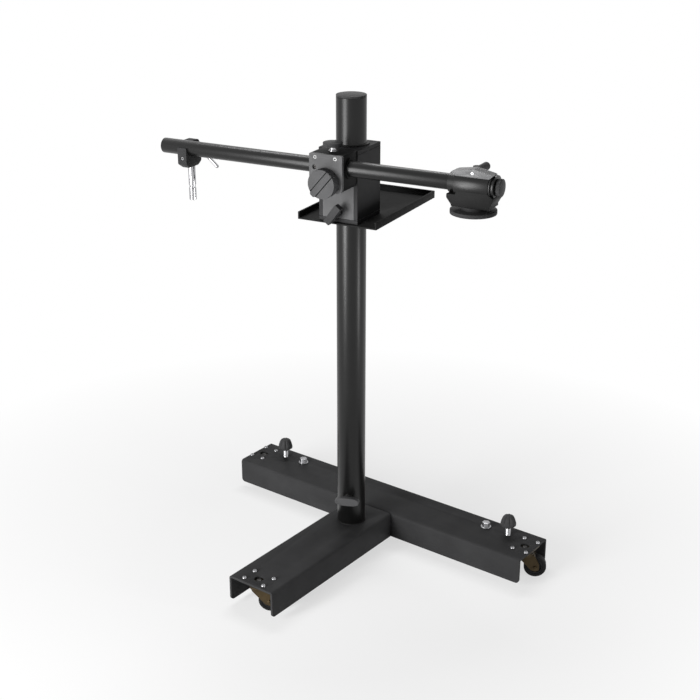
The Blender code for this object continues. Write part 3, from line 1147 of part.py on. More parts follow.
    knob = frame("end_knob_axis", head_frame)
    back = END_PLATE_X + GAP
    inner = back + REACH / 2
    face = inner + END_KNOB_THICK
    turned("head_end_knob", [
        (0, face), (END_KNOB_RADIUS - END_KNOB_EDGE, face), (END_KNOB_RADIUS, face - END_KNOB_EDGE),
        (END_KNOB_RADIUS, inner), (END_KNOB_COLLAR, inner), (END_KNOB_COLLAR, back),
        (END_KNOB_STUD, back), (END_KNOB_STUD, back - END_KNOB_STUD_LONG), (0, back - END_KNOB_STUD_LONG)],
        knob, RIGHT, ROUND, "knob_plastic")


def centre_on_floor():
    """Move the whole stand so that the middle of its box's underside is the origin."""
    bpy.context.view_layer.update()
    graph = bpy.context.evaluated_depsgraph_get()
    low = Vector((math.inf, math.inf, math.inf))
    high = -low
    for piece in PIECES.objects:
        if piece.type != "MESH":
            continue
        shape = piece.evaluated_get(graph)
        for vert in shape.data.vertices:
            spot = shape.matrix_world @ vert.co
            low = Vector(map(min, low, spot))
            high = Vector(map(max, high, spot))
    STAND.location = (-(low.x + high.x) / 2, -(low.y + high.y) / 2, -low.z)
    bpy.context.view_layer.update()


def main():
    crossbar, leg = base_beams()
    joint_plate()
    bar_caster_x = BAR_LENGTH / 2 - BAR_CASTER_INSET
    caster("left", -bar_caster_x, BAR_CASTER_Y, crossbar, 0.0)
    caster("right", bar_caster_x, BAR_CASTER_Y, crossbar, 0.0)
    caster("front", 0.0, LEG_CASTER_INSET - LEG_REACH, leg, math.pi / 2)
    levelling_screw("left", -1, crossbar)
    levelling_screw("right", 1, crossbar)
    column()
    carriage = frame("carriage", UPPER, (0, 0, CARRIAGE_BOTTOM))
    carriage_box(carriage)
    tray(carriage)
    brake(carriage)
    clamp_frame = frame("clamp", carriage, (TILT_X, 0, TILT_RISE))
    clamp(carriage, clamp_frame)
    arm = frame("arm", clamp_frame, (0, -ARM_FORWARD, ARM_RISE))
    arm_pieces(arm)
    stud_bracket(frame("stud_bracket_slide", arm, (BRACKET_X, 0, 0)))
    head(frame("head", arm, (HEAD_X, 0, 0)))
    centre_on_floor()


main()
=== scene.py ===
# %% [markdown]
# A wheeled camera stand, dressed for a studio picture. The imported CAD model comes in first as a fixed
# frame. Every piece made here sits where a CAD node sits and rides on that node's body, so the stand
# still moves as the real one does: it rolls, swivels, slides, tilts and clamps.

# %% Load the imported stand
import json
import math

import bmesh
import bpy
from mathutils import Matrix, Vector

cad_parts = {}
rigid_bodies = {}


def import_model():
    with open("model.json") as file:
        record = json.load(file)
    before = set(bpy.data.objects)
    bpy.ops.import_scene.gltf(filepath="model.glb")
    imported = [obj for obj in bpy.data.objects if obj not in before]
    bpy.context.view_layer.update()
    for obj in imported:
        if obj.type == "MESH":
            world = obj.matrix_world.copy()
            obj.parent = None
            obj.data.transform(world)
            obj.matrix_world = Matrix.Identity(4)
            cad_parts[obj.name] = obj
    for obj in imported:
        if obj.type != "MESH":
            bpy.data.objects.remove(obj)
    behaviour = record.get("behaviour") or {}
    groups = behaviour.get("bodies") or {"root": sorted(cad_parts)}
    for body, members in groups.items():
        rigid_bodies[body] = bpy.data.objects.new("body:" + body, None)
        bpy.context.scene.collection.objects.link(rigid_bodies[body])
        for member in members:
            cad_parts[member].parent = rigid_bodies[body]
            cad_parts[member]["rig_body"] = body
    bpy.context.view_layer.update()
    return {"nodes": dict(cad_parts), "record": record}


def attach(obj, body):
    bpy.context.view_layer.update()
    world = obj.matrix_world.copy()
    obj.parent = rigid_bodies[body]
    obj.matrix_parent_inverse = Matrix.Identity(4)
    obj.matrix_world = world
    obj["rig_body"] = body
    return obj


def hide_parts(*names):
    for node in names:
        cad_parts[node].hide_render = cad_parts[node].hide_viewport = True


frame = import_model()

# %% [markdown]
# The camera stands to the right of the front leg and looks a little down, as a product photographer
# would place it for a tall stand. A long lens from about two and a half metres keeps the column's sides
# nearly parallel. The numbers were solved from the edges of the base and the column.

# %% Camera
CAMERA_PLACE = (1.581683, -2.048556, 1.5560)
CAMERA_TILT = math.radians(68.1139)
CAMERA_TURN = math.radians(37.1453)
camera_data = bpy.data.cameras.new("studio_camera")
camera_data.lens = 66.65
camera_data.sensor_width = 36.0
camera_data.clip_end = 200.0
camera = bpy.data.objects.new("studio_camera", camera_data)
camera.location = CAMERA_PLACE
camera.rotation_euler = (CAMERA_TILT, 0.0, CAMERA_TURN)
bpy.context.scene.collection.objects.link(camera)
bpy.context.scene.camera = camera
bpy.context.scene.view_settings.view_transform = "Standard"
print("camera is", round((camera.location - Vector((0.0, 0.0, 0.5))).length, 2), "m from the stand")

# %% [markdown]
# Black paint only reads as a shape when something bright is mirrored in it. A tall soft box stands in
# front on the left and reaches down to the floor, so that the front faces turn grey, the right sides
# stay dark and a light line runs down the column. A strip above and behind draws the line on top of the
# arm, and two small ones near the floor draw the lines at the column's foot.

# %% Lamps
LAMPS = {
    "front_box": {"place": (-0.75, -3.30, 1.20), "aim": (0.0, 0.0, 0.80), "width": 1.5, "height": 2.2,
                  "power": 118.0},
    "top_strip": {"place": (-0.95, 1.05, 2.60), "aim": (0.0, 0.0, 0.93), "width": 2.2, "height": 0.24,
                  "power": 30.0},
    "left_foot_strip": {"place": (-0.34, -1.62, 0.40), "aim": (0.0, 0.0, 0.32), "width": 0.16,
                        "height": 0.75, "power": 9.0},
    "right_foot_strip": {"place": (1.55, 0.20, 0.26), "aim": (0.0, 0.0, 0.30), "width": 0.12,
                         "height": 0.50, "power": 6.0},
}


def soft_box(name, place, aim, width, height, power):
    lamp_data = bpy.data.lights.new(name, "AREA")
    lamp_data.shape = "RECTANGLE"
    lamp_data.size = width
    lamp_data.size_y = height
    lamp_data.energy = power
    lamp = bpy.data.objects.new(name, lamp_data)
    lamp.location = place
    lamp.rotation_euler = (Vector(aim) - Vector(place)).to_track_quat("-Z", "Y").to_euler()
    lamp.visible_camera = False
    bpy.context.scene.collection.objects.link(lamp)


for name, lamp_facts in LAMPS.items():
    soft_box(name, **lamp_facts)
print(len(LAMPS), "lamps")

# %% [markdown]
# The world is the white sweep of a studio. It is plain white to the camera and in reflections, and much
# weaker as a light, because the lamps do the lighting. The Light Path node tells the two uses apart.

# %% World
def backdrop_factor(nodes, links):
    """One for the rays that see the background, and nought for the rays that carry light."""
    path = nodes.new("ShaderNodeLightPath")
    first = nodes.new("ShaderNodeMath")
    first.operation = "MAXIMUM"
    second = nodes.new("ShaderNodeMath")
    second.operation = "MAXIMUM"
    links.new(path.outputs["Is Camera Ray"], first.inputs[0])
    links.new(path.outputs["Is Glossy Ray"], first.inputs[1])
    links.new(first.outputs[0], second.inputs[0])
    links.new(path.outputs["Is Transmission Ray"], second.inputs[1])
    return second.outputs[0]


WHITE = (1.0, 1.0, 1.0, 1.0)
ROOM_LIGHT = 0.09
world = bpy.data.worlds.new("white_sweep")
bpy.context.scene.world = world
world.use_nodes = True
world_nodes = world.node_tree.nodes
world_links = world.node_tree.links
world_nodes.clear()
world_out = world_nodes.new("ShaderNodeOutputWorld")
room_light = world_nodes.new("ShaderNodeBackground")
room_light.inputs["Color"].default_value = WHITE
room_light.inputs["Strength"].default_value = ROOM_LIGHT
white_room = world_nodes.new("ShaderNodeBackground")
white_room.inputs["Color"].default_value = WHITE
white_room.inputs["Strength"].default_value = 1.0
world_mix = world_nodes.new("ShaderNodeMixShader")
world_links.new(backdrop_factor(world_nodes, world_links), world_mix.inputs["Fac"])
world_links.new(room_light.outputs[0], world_mix.inputs[1])
world_links.new(white_room.outputs[0], world_mix.inputs[2])
world_links.new(world_mix.outputs[0], world_out.inputs["Surface"])
print("world ready")

# %% [markdown]
# The floor is a white sheet. Part of what the camera sees of it is a plain white glow and part is real
# diffuse paper, which takes the soft shadow under the beams. Away from the stand the glow takes over,
# so that the sheet melts into the background.

# %% Floor
FLOOR_HALF = 30.0
PAPER_WHITE = (0.93, 0.93, 0.93, 1.0)
FADE_FROM = 0.45
FADE_TO = 1.30
GLOW_NEAR = 0.62
GLOW_FAR = 1.0
floor_form = bmesh.new()
bmesh.ops.create_grid(floor_form, x_segments=1, y_segments=1, size=FLOOR_HALF)
floor_mesh = bpy.data.meshes.new("floor")
floor_form.to_mesh(floor_mesh)
floor_form.free()
floor = bpy.data.objects.new("floor", floor_mesh)
bpy.context.scene.collection.objects.link(floor)
paper = bpy.data.materials.new("white_paper")
paper.use_nodes = True
paper_nodes = paper.node_tree.nodes
paper_links = paper.node_tree.links
paper_nodes.clear()
paper_out = paper_nodes.new("ShaderNodeOutputMaterial")
paper_skin = paper_nodes.new("ShaderNodeBsdfDiffuse")
paper_skin.inputs["Color"].default_value = PAPER_WHITE
paper_glow = paper_nodes.new("ShaderNodeEmission")
paper_glow.inputs["Strength"].default_value = 1.0
paper_share = paper_nodes.new("ShaderNodeMath")
paper_share.operation = "MULTIPLY"
paper_place = paper_nodes.new("ShaderNodeTexCoord")
paper_length = paper_nodes.new("ShaderNodeVectorMath")
paper_length.operation = "LENGTH"
paper_fade = paper_nodes.new("ShaderNodeMapRange")
paper_fade.inputs["From Min"].default_value = FADE_FROM
paper_fade.inputs["From Max"].default_value = FADE_TO
paper_fade.inputs["To Min"].default_value = GLOW_NEAR
paper_fade.inputs["To Max"].default_value = GLOW_FAR
paper_links.new(paper_place.outputs["Object"], paper_length.inputs[0])
paper_links.new(paper_length.outputs["Value"], paper_fade.inputs["Value"])
paper_links.new(paper_fade.outputs["Result"], paper_share.inputs[1])
paper_mix = paper_nodes.new("ShaderNodeMixShader")
paper_links.new(backdrop_factor(paper_nodes, paper_links), paper_share.inputs[0])
paper_links.new(paper_share.outputs[0], paper_mix.inputs["Fac"])
paper_links.new(paper_skin.outputs[0], paper_mix.inputs[1])
paper_links.new(paper_glow.outputs[0], paper_mix.inputs[2])
paper_links.new(paper_mix.outputs[0], paper_out.inputs["Surface"])
floor_mesh.materials.append(paper)
print("floor", 2 * FLOOR_HALF, "m wide")

# %% [markdown]
# Every finish comes from one recipe, because real finishes differ in degree: how much the colour
# drifts, how much the gloss drifts, and how deep and how fine the grain is. Slow noise moves the colour
# and the roughness, and fine noise makes the bump. A stretch makes the grain run one way, as on brushed
# metal.

# %% The recipe for a finish
SLOW_SCALE = 14.0
MIDDLING_SCALE = 60.0
SMOOTHEST = 0.03


def finish(name, colour, roughness, drift=0.12, gloss_play=0.06, grain=900.0, depth=0.00002,
           metallic=0.0, specular=0.5, stretch=(1.0, 1.0, 1.0)):
    made = bpy.data.materials.new(name)
    made.use_nodes = True
    nodes = made.node_tree.nodes
    links = made.node_tree.links
    shader = nodes["Principled BSDF"]
    shader.inputs["Metallic"].default_value = metallic
    shader.inputs["Specular IOR Level"].default_value = specular
    place = nodes.new("ShaderNodeTexCoord")
    stretcher = nodes.new("ShaderNodeMapping")
    stretcher.inputs["Scale"].default_value = stretch
    links.new(place.outputs["Object"], stretcher.inputs["Vector"])

    slow = nodes.new("ShaderNodeTexNoise")
    slow.inputs["Scale"].default_value = SLOW_SCALE
    slow.inputs["Detail"].default_value = 4.0
    links.new(place.outputs["Object"], slow.inputs["Vector"])
    tint = nodes.new("ShaderNodeValToRGB")
    tint.color_ramp.elements[0].position = 0.30
    tint.color_ramp.elements[1].position = 0.70
    tint.color_ramp.elements[0].color = (*[part * (1 - drift) for part in colour], 1.0)
    tint.color_ramp.elements[1].color = (*[part * (1 + drift) for part in colour], 1.0)
    links.new(slow.outputs["Fac"], tint.inputs["Fac"])
    links.new(tint.outputs["Color"], shader.inputs["Base Color"])

    middling = nodes.new("ShaderNodeTexNoise")
    middling.inputs["Scale"].default_value = MIDDLING_SCALE
    middling.inputs["Detail"].default_value = 3.0
    links.new(stretcher.outputs["Vector"], middling.inputs["Vector"])
    gloss = nodes.new("ShaderNodeMapRange")
    gloss.inputs["To Min"].default_value = max(roughness - gloss_play, SMOOTHEST)
    gloss.inputs["To Max"].default_value = roughness + gloss_play
    links.new(middling.outputs["Fac"], gloss.inputs["Value"])
    links.new(gloss.outputs["Result"], shader.inputs["Roughness"])

    fine = nodes.new("ShaderNodeTexNoise")
    fine.inputs["Scale"].default_value = grain
    fine.inputs["Detail"].default_value = 2.0
    links.new(stretcher.outputs["Vector"], fine.inputs["Vector"])
    bump = nodes.new("ShaderNodeBump")
    bump.inputs["Strength"].default_value = 1.0
    bump.inputs["Distance"].default_value = depth
    links.new(fine.outputs["Fac"], bump.inputs["Height"])
    links.new(bump.outputs["Normal"], shader.inputs["Normal"])
    return made


# %% [markdown]
# The stand has few finishes. Powder coat on the base is satin with a fine orange peel. The tubes are
# enamelled, smoother and glossier. The carriage and the head are anodised aluminium over a bead blast.
# Knobs are moulded plastic, wheels are rubber on plastic hubs, and the small hardware is plated. The
# specular level is low on black matt finishes, because a white room would wash them out at the edges.

# %% Finishes by slot
FINISHES = {
    "base_paint": finish("powder_coat", (0.042, 0.042, 0.043), 0.48, grain=700.0, depth=0.000030,
                         specular=0.02),
    "column_paint": finish("black_enamel", (0.004, 0.004, 0.004), 0.33, gloss_play=0.02, grain=260.0,
                           depth=0.000003, specular=0.32),
    "machined_black": finish("black_anodised", (0.044, 0.044, 0.045), 0.40, grain=2200.0,
                             depth=0.000012, specular=0.02),
    "knob_plastic": finish("moulded_plastic", (0.052, 0.052, 0.053), 0.42, grain=1600.0, depth=0.000020,
                           specular=0.05),
    "chrome": finish("bright_chrome", (0.42, 0.42, 0.43), 0.16, drift=0.03, gloss_play=0.03,
                     grain=500.0, depth=0.000001, metallic=1.0),
    "zinc_olive": finish("olive_zinc", (0.060, 0.043, 0.022), 0.34, drift=0.45, gloss_play=0.10,
                         grain=800.0, depth=0.000015, metallic=0.70, specular=0.2),
    "wheel_rubber": finish("tyre_rubber", (0.012, 0.012, 0.012), 0.62, grain=1200.0, depth=0.00003,
                           specular=0.10),
    "wheel_hub": finish("hub_plastic", (0.024, 0.024, 0.025), 0.48, grain=1200.0, depth=0.00002,
                        specular=0.15),
    "bush_nylon": finish("nylon", (0.022, 0.022, 0.022), 0.50, grain=1500.0, depth=0.00001,
                         specular=0.1),
    "brass": finish("turned_brass", (0.62, 0.45, 0.18), 0.30, grain=900.0, depth=0.00001, metallic=1.0,
                    stretch=(1.0, 1.0, 12.0)),
    "raw_steel": finish("bright_zinc", (0.30, 0.30, 0.31), 0.32, drift=0.10, gloss_play=0.08,
                        grain=700.0, depth=0.000005, metallic=1.0),
}
print(len(FINISHES), "finishes")

# %% [markdown]
# Some pieces differ from the rest of their slot: an oxide black screw, a matt tray, a neck painted
# darker as painted shade under the barrel, front faces painted lighter grey with a satin grain as painted
# light from the front lamp, sides painted nearly black as painted shade, and knobs painted lighter grey
# as painted light on their faces. The dark oxide colour is also painted shade in hollows. They get a
# look of their own, and keep the slot that the record gives.

# %% Looks of single pieces
# Black oxide on the adjusting screw. The same dark colour is painted shade in socket hollows, in the
# kingpin holes and round the fairing screw.
OXIDE_AND_HOLLOW_SHADE = finish("black_oxide_and_hollow_shade", (0.030, 0.029, 0.028), 0.30, grain=900.0, depth=0.00001,
                    metallic=0.6, specular=0.2)
MATT_SHEET = finish("matt_sheet", (0.020, 0.020, 0.020), 0.55, grain=900.0, depth=0.00002,
                    specular=0.03)
# Painted shade: the head's neck is painted darker for the shadow under the barrel.
SHADED_NECK_PAINT = finish("painted_shade_casting", (0.010, 0.010, 0.010), 0.50, grain=600.0, depth=0.00004,
                   specular=0.08)
BRIGHT_ALUMINIUM = finish("grey_anodised", (0.165, 0.165, 0.168), 0.36, grain=2200.0, depth=0.000010,
                          specular=0.2)
# Painted light: front plates are painted lighter grey for the front lamp's light on black anodising.
LIT_FACE_PAINT = finish("painted_lit_anodised", (0.125, 0.125, 0.127), 0.42, grain=2400.0, depth=0.000012,
                   specular=0.05)
# Painted shade: the clamp block and the arm bushes are painted nearly black for their sides away from the
# lamps.
SHADE_SIDE = finish("shade_side", (0.014, 0.014, 0.014), 0.45, grain=2000.0, depth=0.000010,
                    specular=0.02)
WORN_STEEL = finish("worn_zinc", (0.13, 0.13, 0.13), 0.34, drift=0.12, grain=700.0, depth=0.000008,
                    metallic=0.9, specular=0.3)
# Painted light: the big knobs are painted lighter grey for the front lamp's light on their faces.
LIT_KNOB_PAINT = finish("painted_lit_plastic", (0.085, 0.085, 0.087), 0.38, grain=1600.0, depth=0.000012,
                      specular=0.06)

for row in frame["record"]["subparts"]:
    for material_slot in frame["nodes"][row["node"]].material_slots:
        material_slot.material = FINISHES[row["material_slot"]]
print("finishes on", len(frame["nodes"]), "nodes")

# %% [markdown]
# A CAD solid has perfectly sharp edges, and nothing real has. Each flat piece is copied, its loose
# triangles are merged and its flat faces joined again, and then its sharp edges are rounded by a few
# tenths of a millimetre, so that every edge catches a thin line of light.

# %% Helpers: finished pieces and rounded copies
SMOOTH_BELOW = math.radians(34.0)
BENT_FROM = math.radians(0.6)
SHARP_FROM = math.radians(50.0)
FLAT_WITHIN = math.radians(0.5)
TINY = 0.000002
SLOT_OF = {row["node"]: row["material_slot"] for row in frame["record"]["subparts"]}


def shade(form, crease=SHARP_FROM):
    """Smooth shading where a surface is curved, and flat shading where it is flat."""
    for face in form.faces:
        face.smooth = any(BENT_FROM < edge.calc_face_angle(0.0) < crease for edge in face.edges)


def soften(form, width, segments=2, crease=SHARP_FROM):
    """Round the sharp edges of a bmesh. A lower crease angle keeps shallow facets crisp."""
    shade(form, crease)
    sharp = [edge for edge in form.edges
             if len(edge.link_faces) == 2 and edge.calc_face_angle() > crease]
    rounded = bmesh.ops.bevel(form, geom=sharp, offset=width, offset_type="OFFSET", segments=segments,
                              profile=0.5, affect="EDGES", clamp_overlap=True, material=-1)
    for face in rounded["faces"]:
        face.smooth = True


def finished(name, form, place, body, slot, look=None, replaces=(), inner=None):
    """Turn a bmesh into a piece in its place, which rides on a body."""
    bmesh.ops.transform(form, matrix=place, verts=form.verts)
    bmesh.ops.recalc_face_normals(form, faces=form.faces)
    mesh = bpy.data.meshes.new(name)
    form.to_mesh(mesh)
    form.free()
    mesh.set_sharp_from_angle(angle=SMOOTH_BELOW)
    mesh.materials.append(look or FINISHES[slot])
    if inner:
        mesh.materials.append(inner)
    piece = bpy.data.objects.new(name, mesh)
    bpy.context.scene.collection.objects.link(piece)
    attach(piece, body)
    if replaces:
        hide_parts(*replaces)
    return piece


def rounded_copy(node, width, segments=2, look=None, crease=SHARP_FROM):
    """A copy of a CAD node with eased edges, which stands for the node."""
    cad = frame["nodes"][node]
    form = bmesh.new()
    form.from_mesh(cad.data)
    bmesh.ops.remove_doubles(form, verts=form.verts, dist=TINY)
    bmesh.ops.dissolve_limit(form, angle_limit=FLAT_WITHIN, verts=form.verts, edges=form.edges)
    soften(form, width, segments, crease)
    bmesh.ops.triangulate(form, faces=[face for face in form.faces if len(face.verts) > 4])
    return finished(node + "_eased", form, Matrix.Identity(4), cad["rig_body"], SLOT_OF[node], look,
                    replaces=(node,))


# %% [markdown]
# Most of the other pieces were turned on a lathe or moulded round. The same idea works here: draw half
# of the section as a chain of points, spin it a full turn about Z, merge the seam and the poles, and
# round the rings of edges. Each piece is drawn about its own axis and then carried to its place.

# %% Helper: turned pieces
TURN_STEPS = 96


def turned_form(profile, closed=False, steps=TURN_STEPS, edge=0.0004):
    form = bmesh.new()
    points = [form.verts.new((radius, 0.0, height)) for radius, height in profile]
    chain = [form.edges.new(pair) for pair in zip(points, points[1:])]
    if closed:
        chain.append(form.edges.new((points[-1], points[0])))
    bmesh.ops.spin(form, geom=points + chain, cent=(0, 0, 0), axis=(0, 0, 1), angle=math.tau,
                   steps=steps, use_merge=True, use_duplicate=False)
    bmesh.ops.remove_doubles(form, verts=form.verts, dist=TINY)
    shade(form)
    if edge:
        soften(form, edge)
    return form


def turned(name, profile, place, body, slot, closed=False, steps=TURN_STEPS, edge=0.0004, look=None,
           replaces=()):
    form = turned_form(profile, closed, steps, edge)
    return finished(name, form, place, body, slot, look, replaces)


# %% [markdown]
# The column and everything on it are turned nine degrees on the base. Each group of pieces has its own
# frame of reference, one carried by the next, just as the parts are bolted together.

# %% Frames of the upper part
COLUMN_FOOT = (-0.012117, 0.060044, 0.0)
COLUMN_TURN = math.radians(9.26)
CARRIAGE_HEIGHT = 0.8005
CLAMP_PLACE = (0.006, 0, 0.0995)
ARM_PLACE = (0, -0.091, 0.026)
BRACKET_PLACE = (-0.355, 0, 0)
HEAD_PLACE = (0.308, 0, 0)
LOCK_HEIGHT = 0.142
LOCK_TURN = math.radians(16.0)
FRONT = Matrix.Rotation(math.pi / 2, 4, "X")
BACK = Matrix.Rotation(-math.pi / 2, 4, "X")
RIGHT = Matrix.Rotation(math.pi / 2, 4, "Y")
LEFT = Matrix.Rotation(-math.pi / 2, 4, "Y")


def shift(x, y, z):
    return Matrix.Translation((x, y, z))


BASE = shift(*COLUMN_FOOT)
UPPER = BASE @ Matrix.Rotation(COLUMN_TURN, 4, "Z")
CARRIAGE = UPPER @ shift(0, 0, CARRIAGE_HEIGHT)
CLAMP = CARRIAGE @ shift(*CLAMP_PLACE)
ARM = CLAMP @ shift(*ARM_PLACE)
BRACKET = ARM @ shift(*BRACKET_PLACE)
HEAD = ARM @ shift(*HEAD_PLACE)
COLUMN_LOCK = UPPER @ shift(0, 0, LOCK_HEIGHT) @ Matrix.Rotation(LOCK_TURN, 4, "Z")
print("head at", [round(value, 4) for value in HEAD.translation])

# %% [markdown]
# A socket screw is a round head with a six-sided hole. The two rings are made first and bridged to a
# flat washer shape. The hexagon's edges are then drawn down and closed to make the socket, and the
# outer edges are drawn down through one or more rings to make a flat, sunk or domed head. The socket's
# walls and floor take the dark oxide colour, which is painted shade for the hollow of the socket.

# %% Helper: socket screws
SCREW_SIDES = 24


def socket_form(top_radius, socket, depth, flank):
    """A screw head about +Z with its top face at nought. The flank is (radius, height) pairs."""
    form = bmesh.new()
    outer = bmesh.ops.create_circle(form, segments=SCREW_SIDES, radius=top_radius)["verts"]
    inner = bmesh.ops.create_circle(form, segments=6, radius=socket)["verts"]
    outer_ring = list({edge for vert in outer for edge in vert.link_edges})
    inner_ring = list({edge for vert in inner for edge in vert.link_edges})
    bmesh.ops.bridge_loops(form, edges=outer_ring + inner_ring)
    walls = bmesh.ops.extrude_edge_only(form, edges=inner_ring)["geom"]
    low = [item for item in walls if isinstance(item, bmesh.types.BMVert)]
    bmesh.ops.translate(form, vec=(0, 0, -depth), verts=low)
    floor_faces = bmesh.ops.contextual_create(form, geom=low)["faces"]
    # The socket's walls and floor take the second, dark material: painted shade in the hollow.
    for face in floor_faces + [item for item in walls if isinstance(item, bmesh.types.BMFace)]:
        face.material_index = 1
    ring = outer_ring
    radius = top_radius
    height = 0.0
    for next_radius, next_height in flank:
        drawn = bmesh.ops.extrude_edge_only(form, edges=ring)["geom"]
        verts = [item for item in drawn if isinstance(item, bmesh.types.BMVert)]
        grow = next_radius / radius
        bmesh.ops.scale(form, vec=(grow, grow, 1.0), verts=verts)
        bmesh.ops.translate(form, vec=(0, 0, next_height - height), verts=verts)
        lower = set(verts)
        ring = [edge for edge in drawn if isinstance(edge, bmesh.types.BMEdge)
                and edge.verts[0] in lower and edge.verts[1] in lower]
        radius, height = next_radius, next_height
    bmesh.ops.contextual_create(form, geom=ring)
    shade(form)
    return form


def screw(name, place, body, slot, size, look=None, domed=0.0, sunk=0.0):
    """A socket screw with its head's top at the place. size is (radius, socket, height)."""
    radius, socket, height = size
    if domed:
        flank = [(radius * 0.82, -domed * 0.30), (radius * 0.95, -domed * 0.62), (radius, -domed),
                 (radius, -height)]
        form = socket_form(radius * 0.60, socket, height * 0.6, flank)
    elif sunk:
        form = socket_form(radius, socket, height * 0.6, [(radius, -0.0002), (radius - sunk, -height)])
    else:
        form = socket_form(radius * 0.93, socket, height * 0.6,
                           [(radius, -radius * 0.08), (radius, -height)])
    # The socket faces are painted dark, as painted shade in the hollow.
    return finished(name, form, place, body, slot, look, inner=OXIDE_AND_HOLLOW_SHADE)


# %% [markdown]
# The base is two pressed channels, open underneath, with a plate closing the joint between them. Their
# long corners are bent and their cut ends are only deburred, so the copies get a small rounding.

# %% Base beams
for node, width in (("crossbar", 0.0005), ("front_leg", 0.0005), ("leg_end_plate", 0.0004),
                    ("nut_bar_left", 0.0004), ("nut_bar_right", 0.0004), ("hex_bolt_left", 0.0003),
                    ("hex_bolt_right", 0.0003)):
    rounded_copy(node, width)
print("base beams dressed")

# %% [markdown]
# Each caster hangs from a plate that is bolted up through the beam. On top of the beam four button-head
# screws show, round a hole with the riveted end of the kingpin in it. The kingpin is painted in the dark
# oxide colour, as painted shade down in that hole. The plate and the ball race below are pressed steel
# with an olive passivated zinc finish.

# %% Caster plates and their screws
BEAM_TOP = 0.073
PLATE_TOP = 0.0677
PLATE_UNDER = 0.0647
PLATE_SIZE = (0.043, 0.062)
PLATE_CORNER = 0.0045
BOLT_HALF = (0.017, 0.0265)
BOLT_RISE = 0.0035
BOLT_HEAD = (0.0050, 0.0017, 0.0033)
CASTERS = {
    "left": (-0.383, 0.137, 0.0),
    "right": (0.383, 0.137, 0.0),
    "front": (0.0, -0.326, math.pi / 2),
}


def caster_top(side):
    x, y, turn = CASTERS[side]
    seat = BASE @ shift(x, y, 0) @ Matrix.Rotation(turn, 4, "Z")
    form = bmesh.new()
    bmesh.ops.create_cube(form, size=1.0)
    bmesh.ops.scale(form, vec=(*PLATE_SIZE, PLATE_TOP - PLATE_UNDER), verts=form.verts)
    corners = [edge for edge in form.edges if abs(edge.verts[0].co.z - edge.verts[1].co.z) > TINY]
    bmesh.ops.bevel(form, geom=corners, offset=PLATE_CORNER, segments=6, profile=0.5, affect="EDGES",
                    material=-1)
    bmesh.ops.translate(form, vec=(0, 0, (PLATE_TOP + PLATE_UNDER) / 2), verts=form.verts)
    soften(form, 0.0003)
    finished("caster_plate_top_" + side, form, seat, "base", "zinc_olive",
             replaces=("caster_plate_" + side,))
    # Painted shade: the kingpin is painted dark for the shade down in its hole.
    turned("caster_kingpin_" + side, [
        (0, 0.0707), (0.0040, 0.0707), (0.0058, 0.0700), (0.0065, 0.0690), (0.0065, 0.0662),
        (0.0200, 0.0648), (0.0200, 0.0602), (0.0050, 0.0602), (0.0050, 0.0522), (0.0080, 0.0522),
        (0.0080, 0.0502), (0, 0.0502)], seat, "base", "zinc_olive", look=OXIDE_AND_HOLLOW_SHADE)
    number = 0
    for across in (-BOLT_HALF[0], BOLT_HALF[0]):
        for along in (-BOLT_HALF[1], BOLT_HALF[1]):
            number += 1
            screw("caster_screw_%s_%d" % (side, number),
                  seat @ shift(across, along, BEAM_TOP + BOLT_RISE), "base", "zinc_olive", BOLT_HEAD,
                  look=FINISHES["raw_steel"], domed=0.0026)


for side in CASTERS:
    caster_top(side)
print("three caster plates, twelve screws")

# %% [markdown]
# The fork is one pressed strip, so its rounded copy is enough. The wheel is turned: a tyre with soft
# shoulders, pressed on a hub whose web stands back between the rim and the boss.

# %% Forks and wheels
FORK_TURN = math.radians(30.0)
TRAIL = 0.024
WHEEL_RADIUS = 0.025
SHOULDER = 0.0030
WHEEL_CENTRE = {}
for side, (x, y, turn) in CASTERS.items():
    WHEEL_CENTRE[side] = (BASE @ shift(x, y, 0) @ Matrix.Rotation(FORK_TURN, 4, "Z")
                          @ shift(TRAIL, 0, WHEEL_RADIUS) @ FRONT)


def wheel(side):
    seat = WHEEL_CENTRE[side]
    shoulder = [(WHEEL_RADIUS - SHOULDER + SHOULDER * math.sin(math.radians(angle)),
                 0.0070 + SHOULDER * math.cos(math.radians(angle))) for angle in range(0, 91, 15)]
    tread = shoulder + [(radius, -height) for radius, height in reversed(shoulder)]
    turned("tyre_round_" + side, tread + [(0.0173, -0.0100), (0.0173, 0.0100)], seat, "wheel_" + side,
           "wheel_rubber", closed=True, edge=0.0003, replaces=("tyre_" + side,))
    turned("hub_round_" + side, [
        (0.0170, 0.00875), (0.0170, -0.00875), (0.0145, -0.00875), (0.0135, -0.0040), (0.0075, -0.0040),
        (0.0070, -0.0105), (0.0033, -0.0105), (0.0033, 0.0105), (0.0070, 0.0105), (0.0075, 0.0040),
        (0.0135, 0.0040), (0.0145, 0.00875)], seat, "wheel_" + side, "wheel_hub", closed=True,
        edge=0.0003, replaces=("wheel_hub_" + side,))


for side in CASTERS:
    rounded_copy("caster_fork_" + side, 0.0003)
    wheel(side)
print("wheels", sorted(WHEEL_CENTRE))

# %% [markdown]
# The levelling screw's knob is a domed moulding with eight flutes for the fingers. It is spun smooth
# first. Then the points of its side are pushed inwards in eight places, less towards the bottom, which
# is how the flutes run out on the real knob.

# %% Levelling screws
KNOB_UNDER = 0.0985
KNOB_TOP = 0.122
FLUTES = 8
FLUTE_DEPTH = 0.0020
FLUTE_RUN_OUT = 0.008
FLUTE_LEAST = 0.25
HUB_CLEAR = 0.0088
LEVEL_PLACES = {"left": (-0.327, 0.156, 0), "right": (0.327, 0.156, 0)}


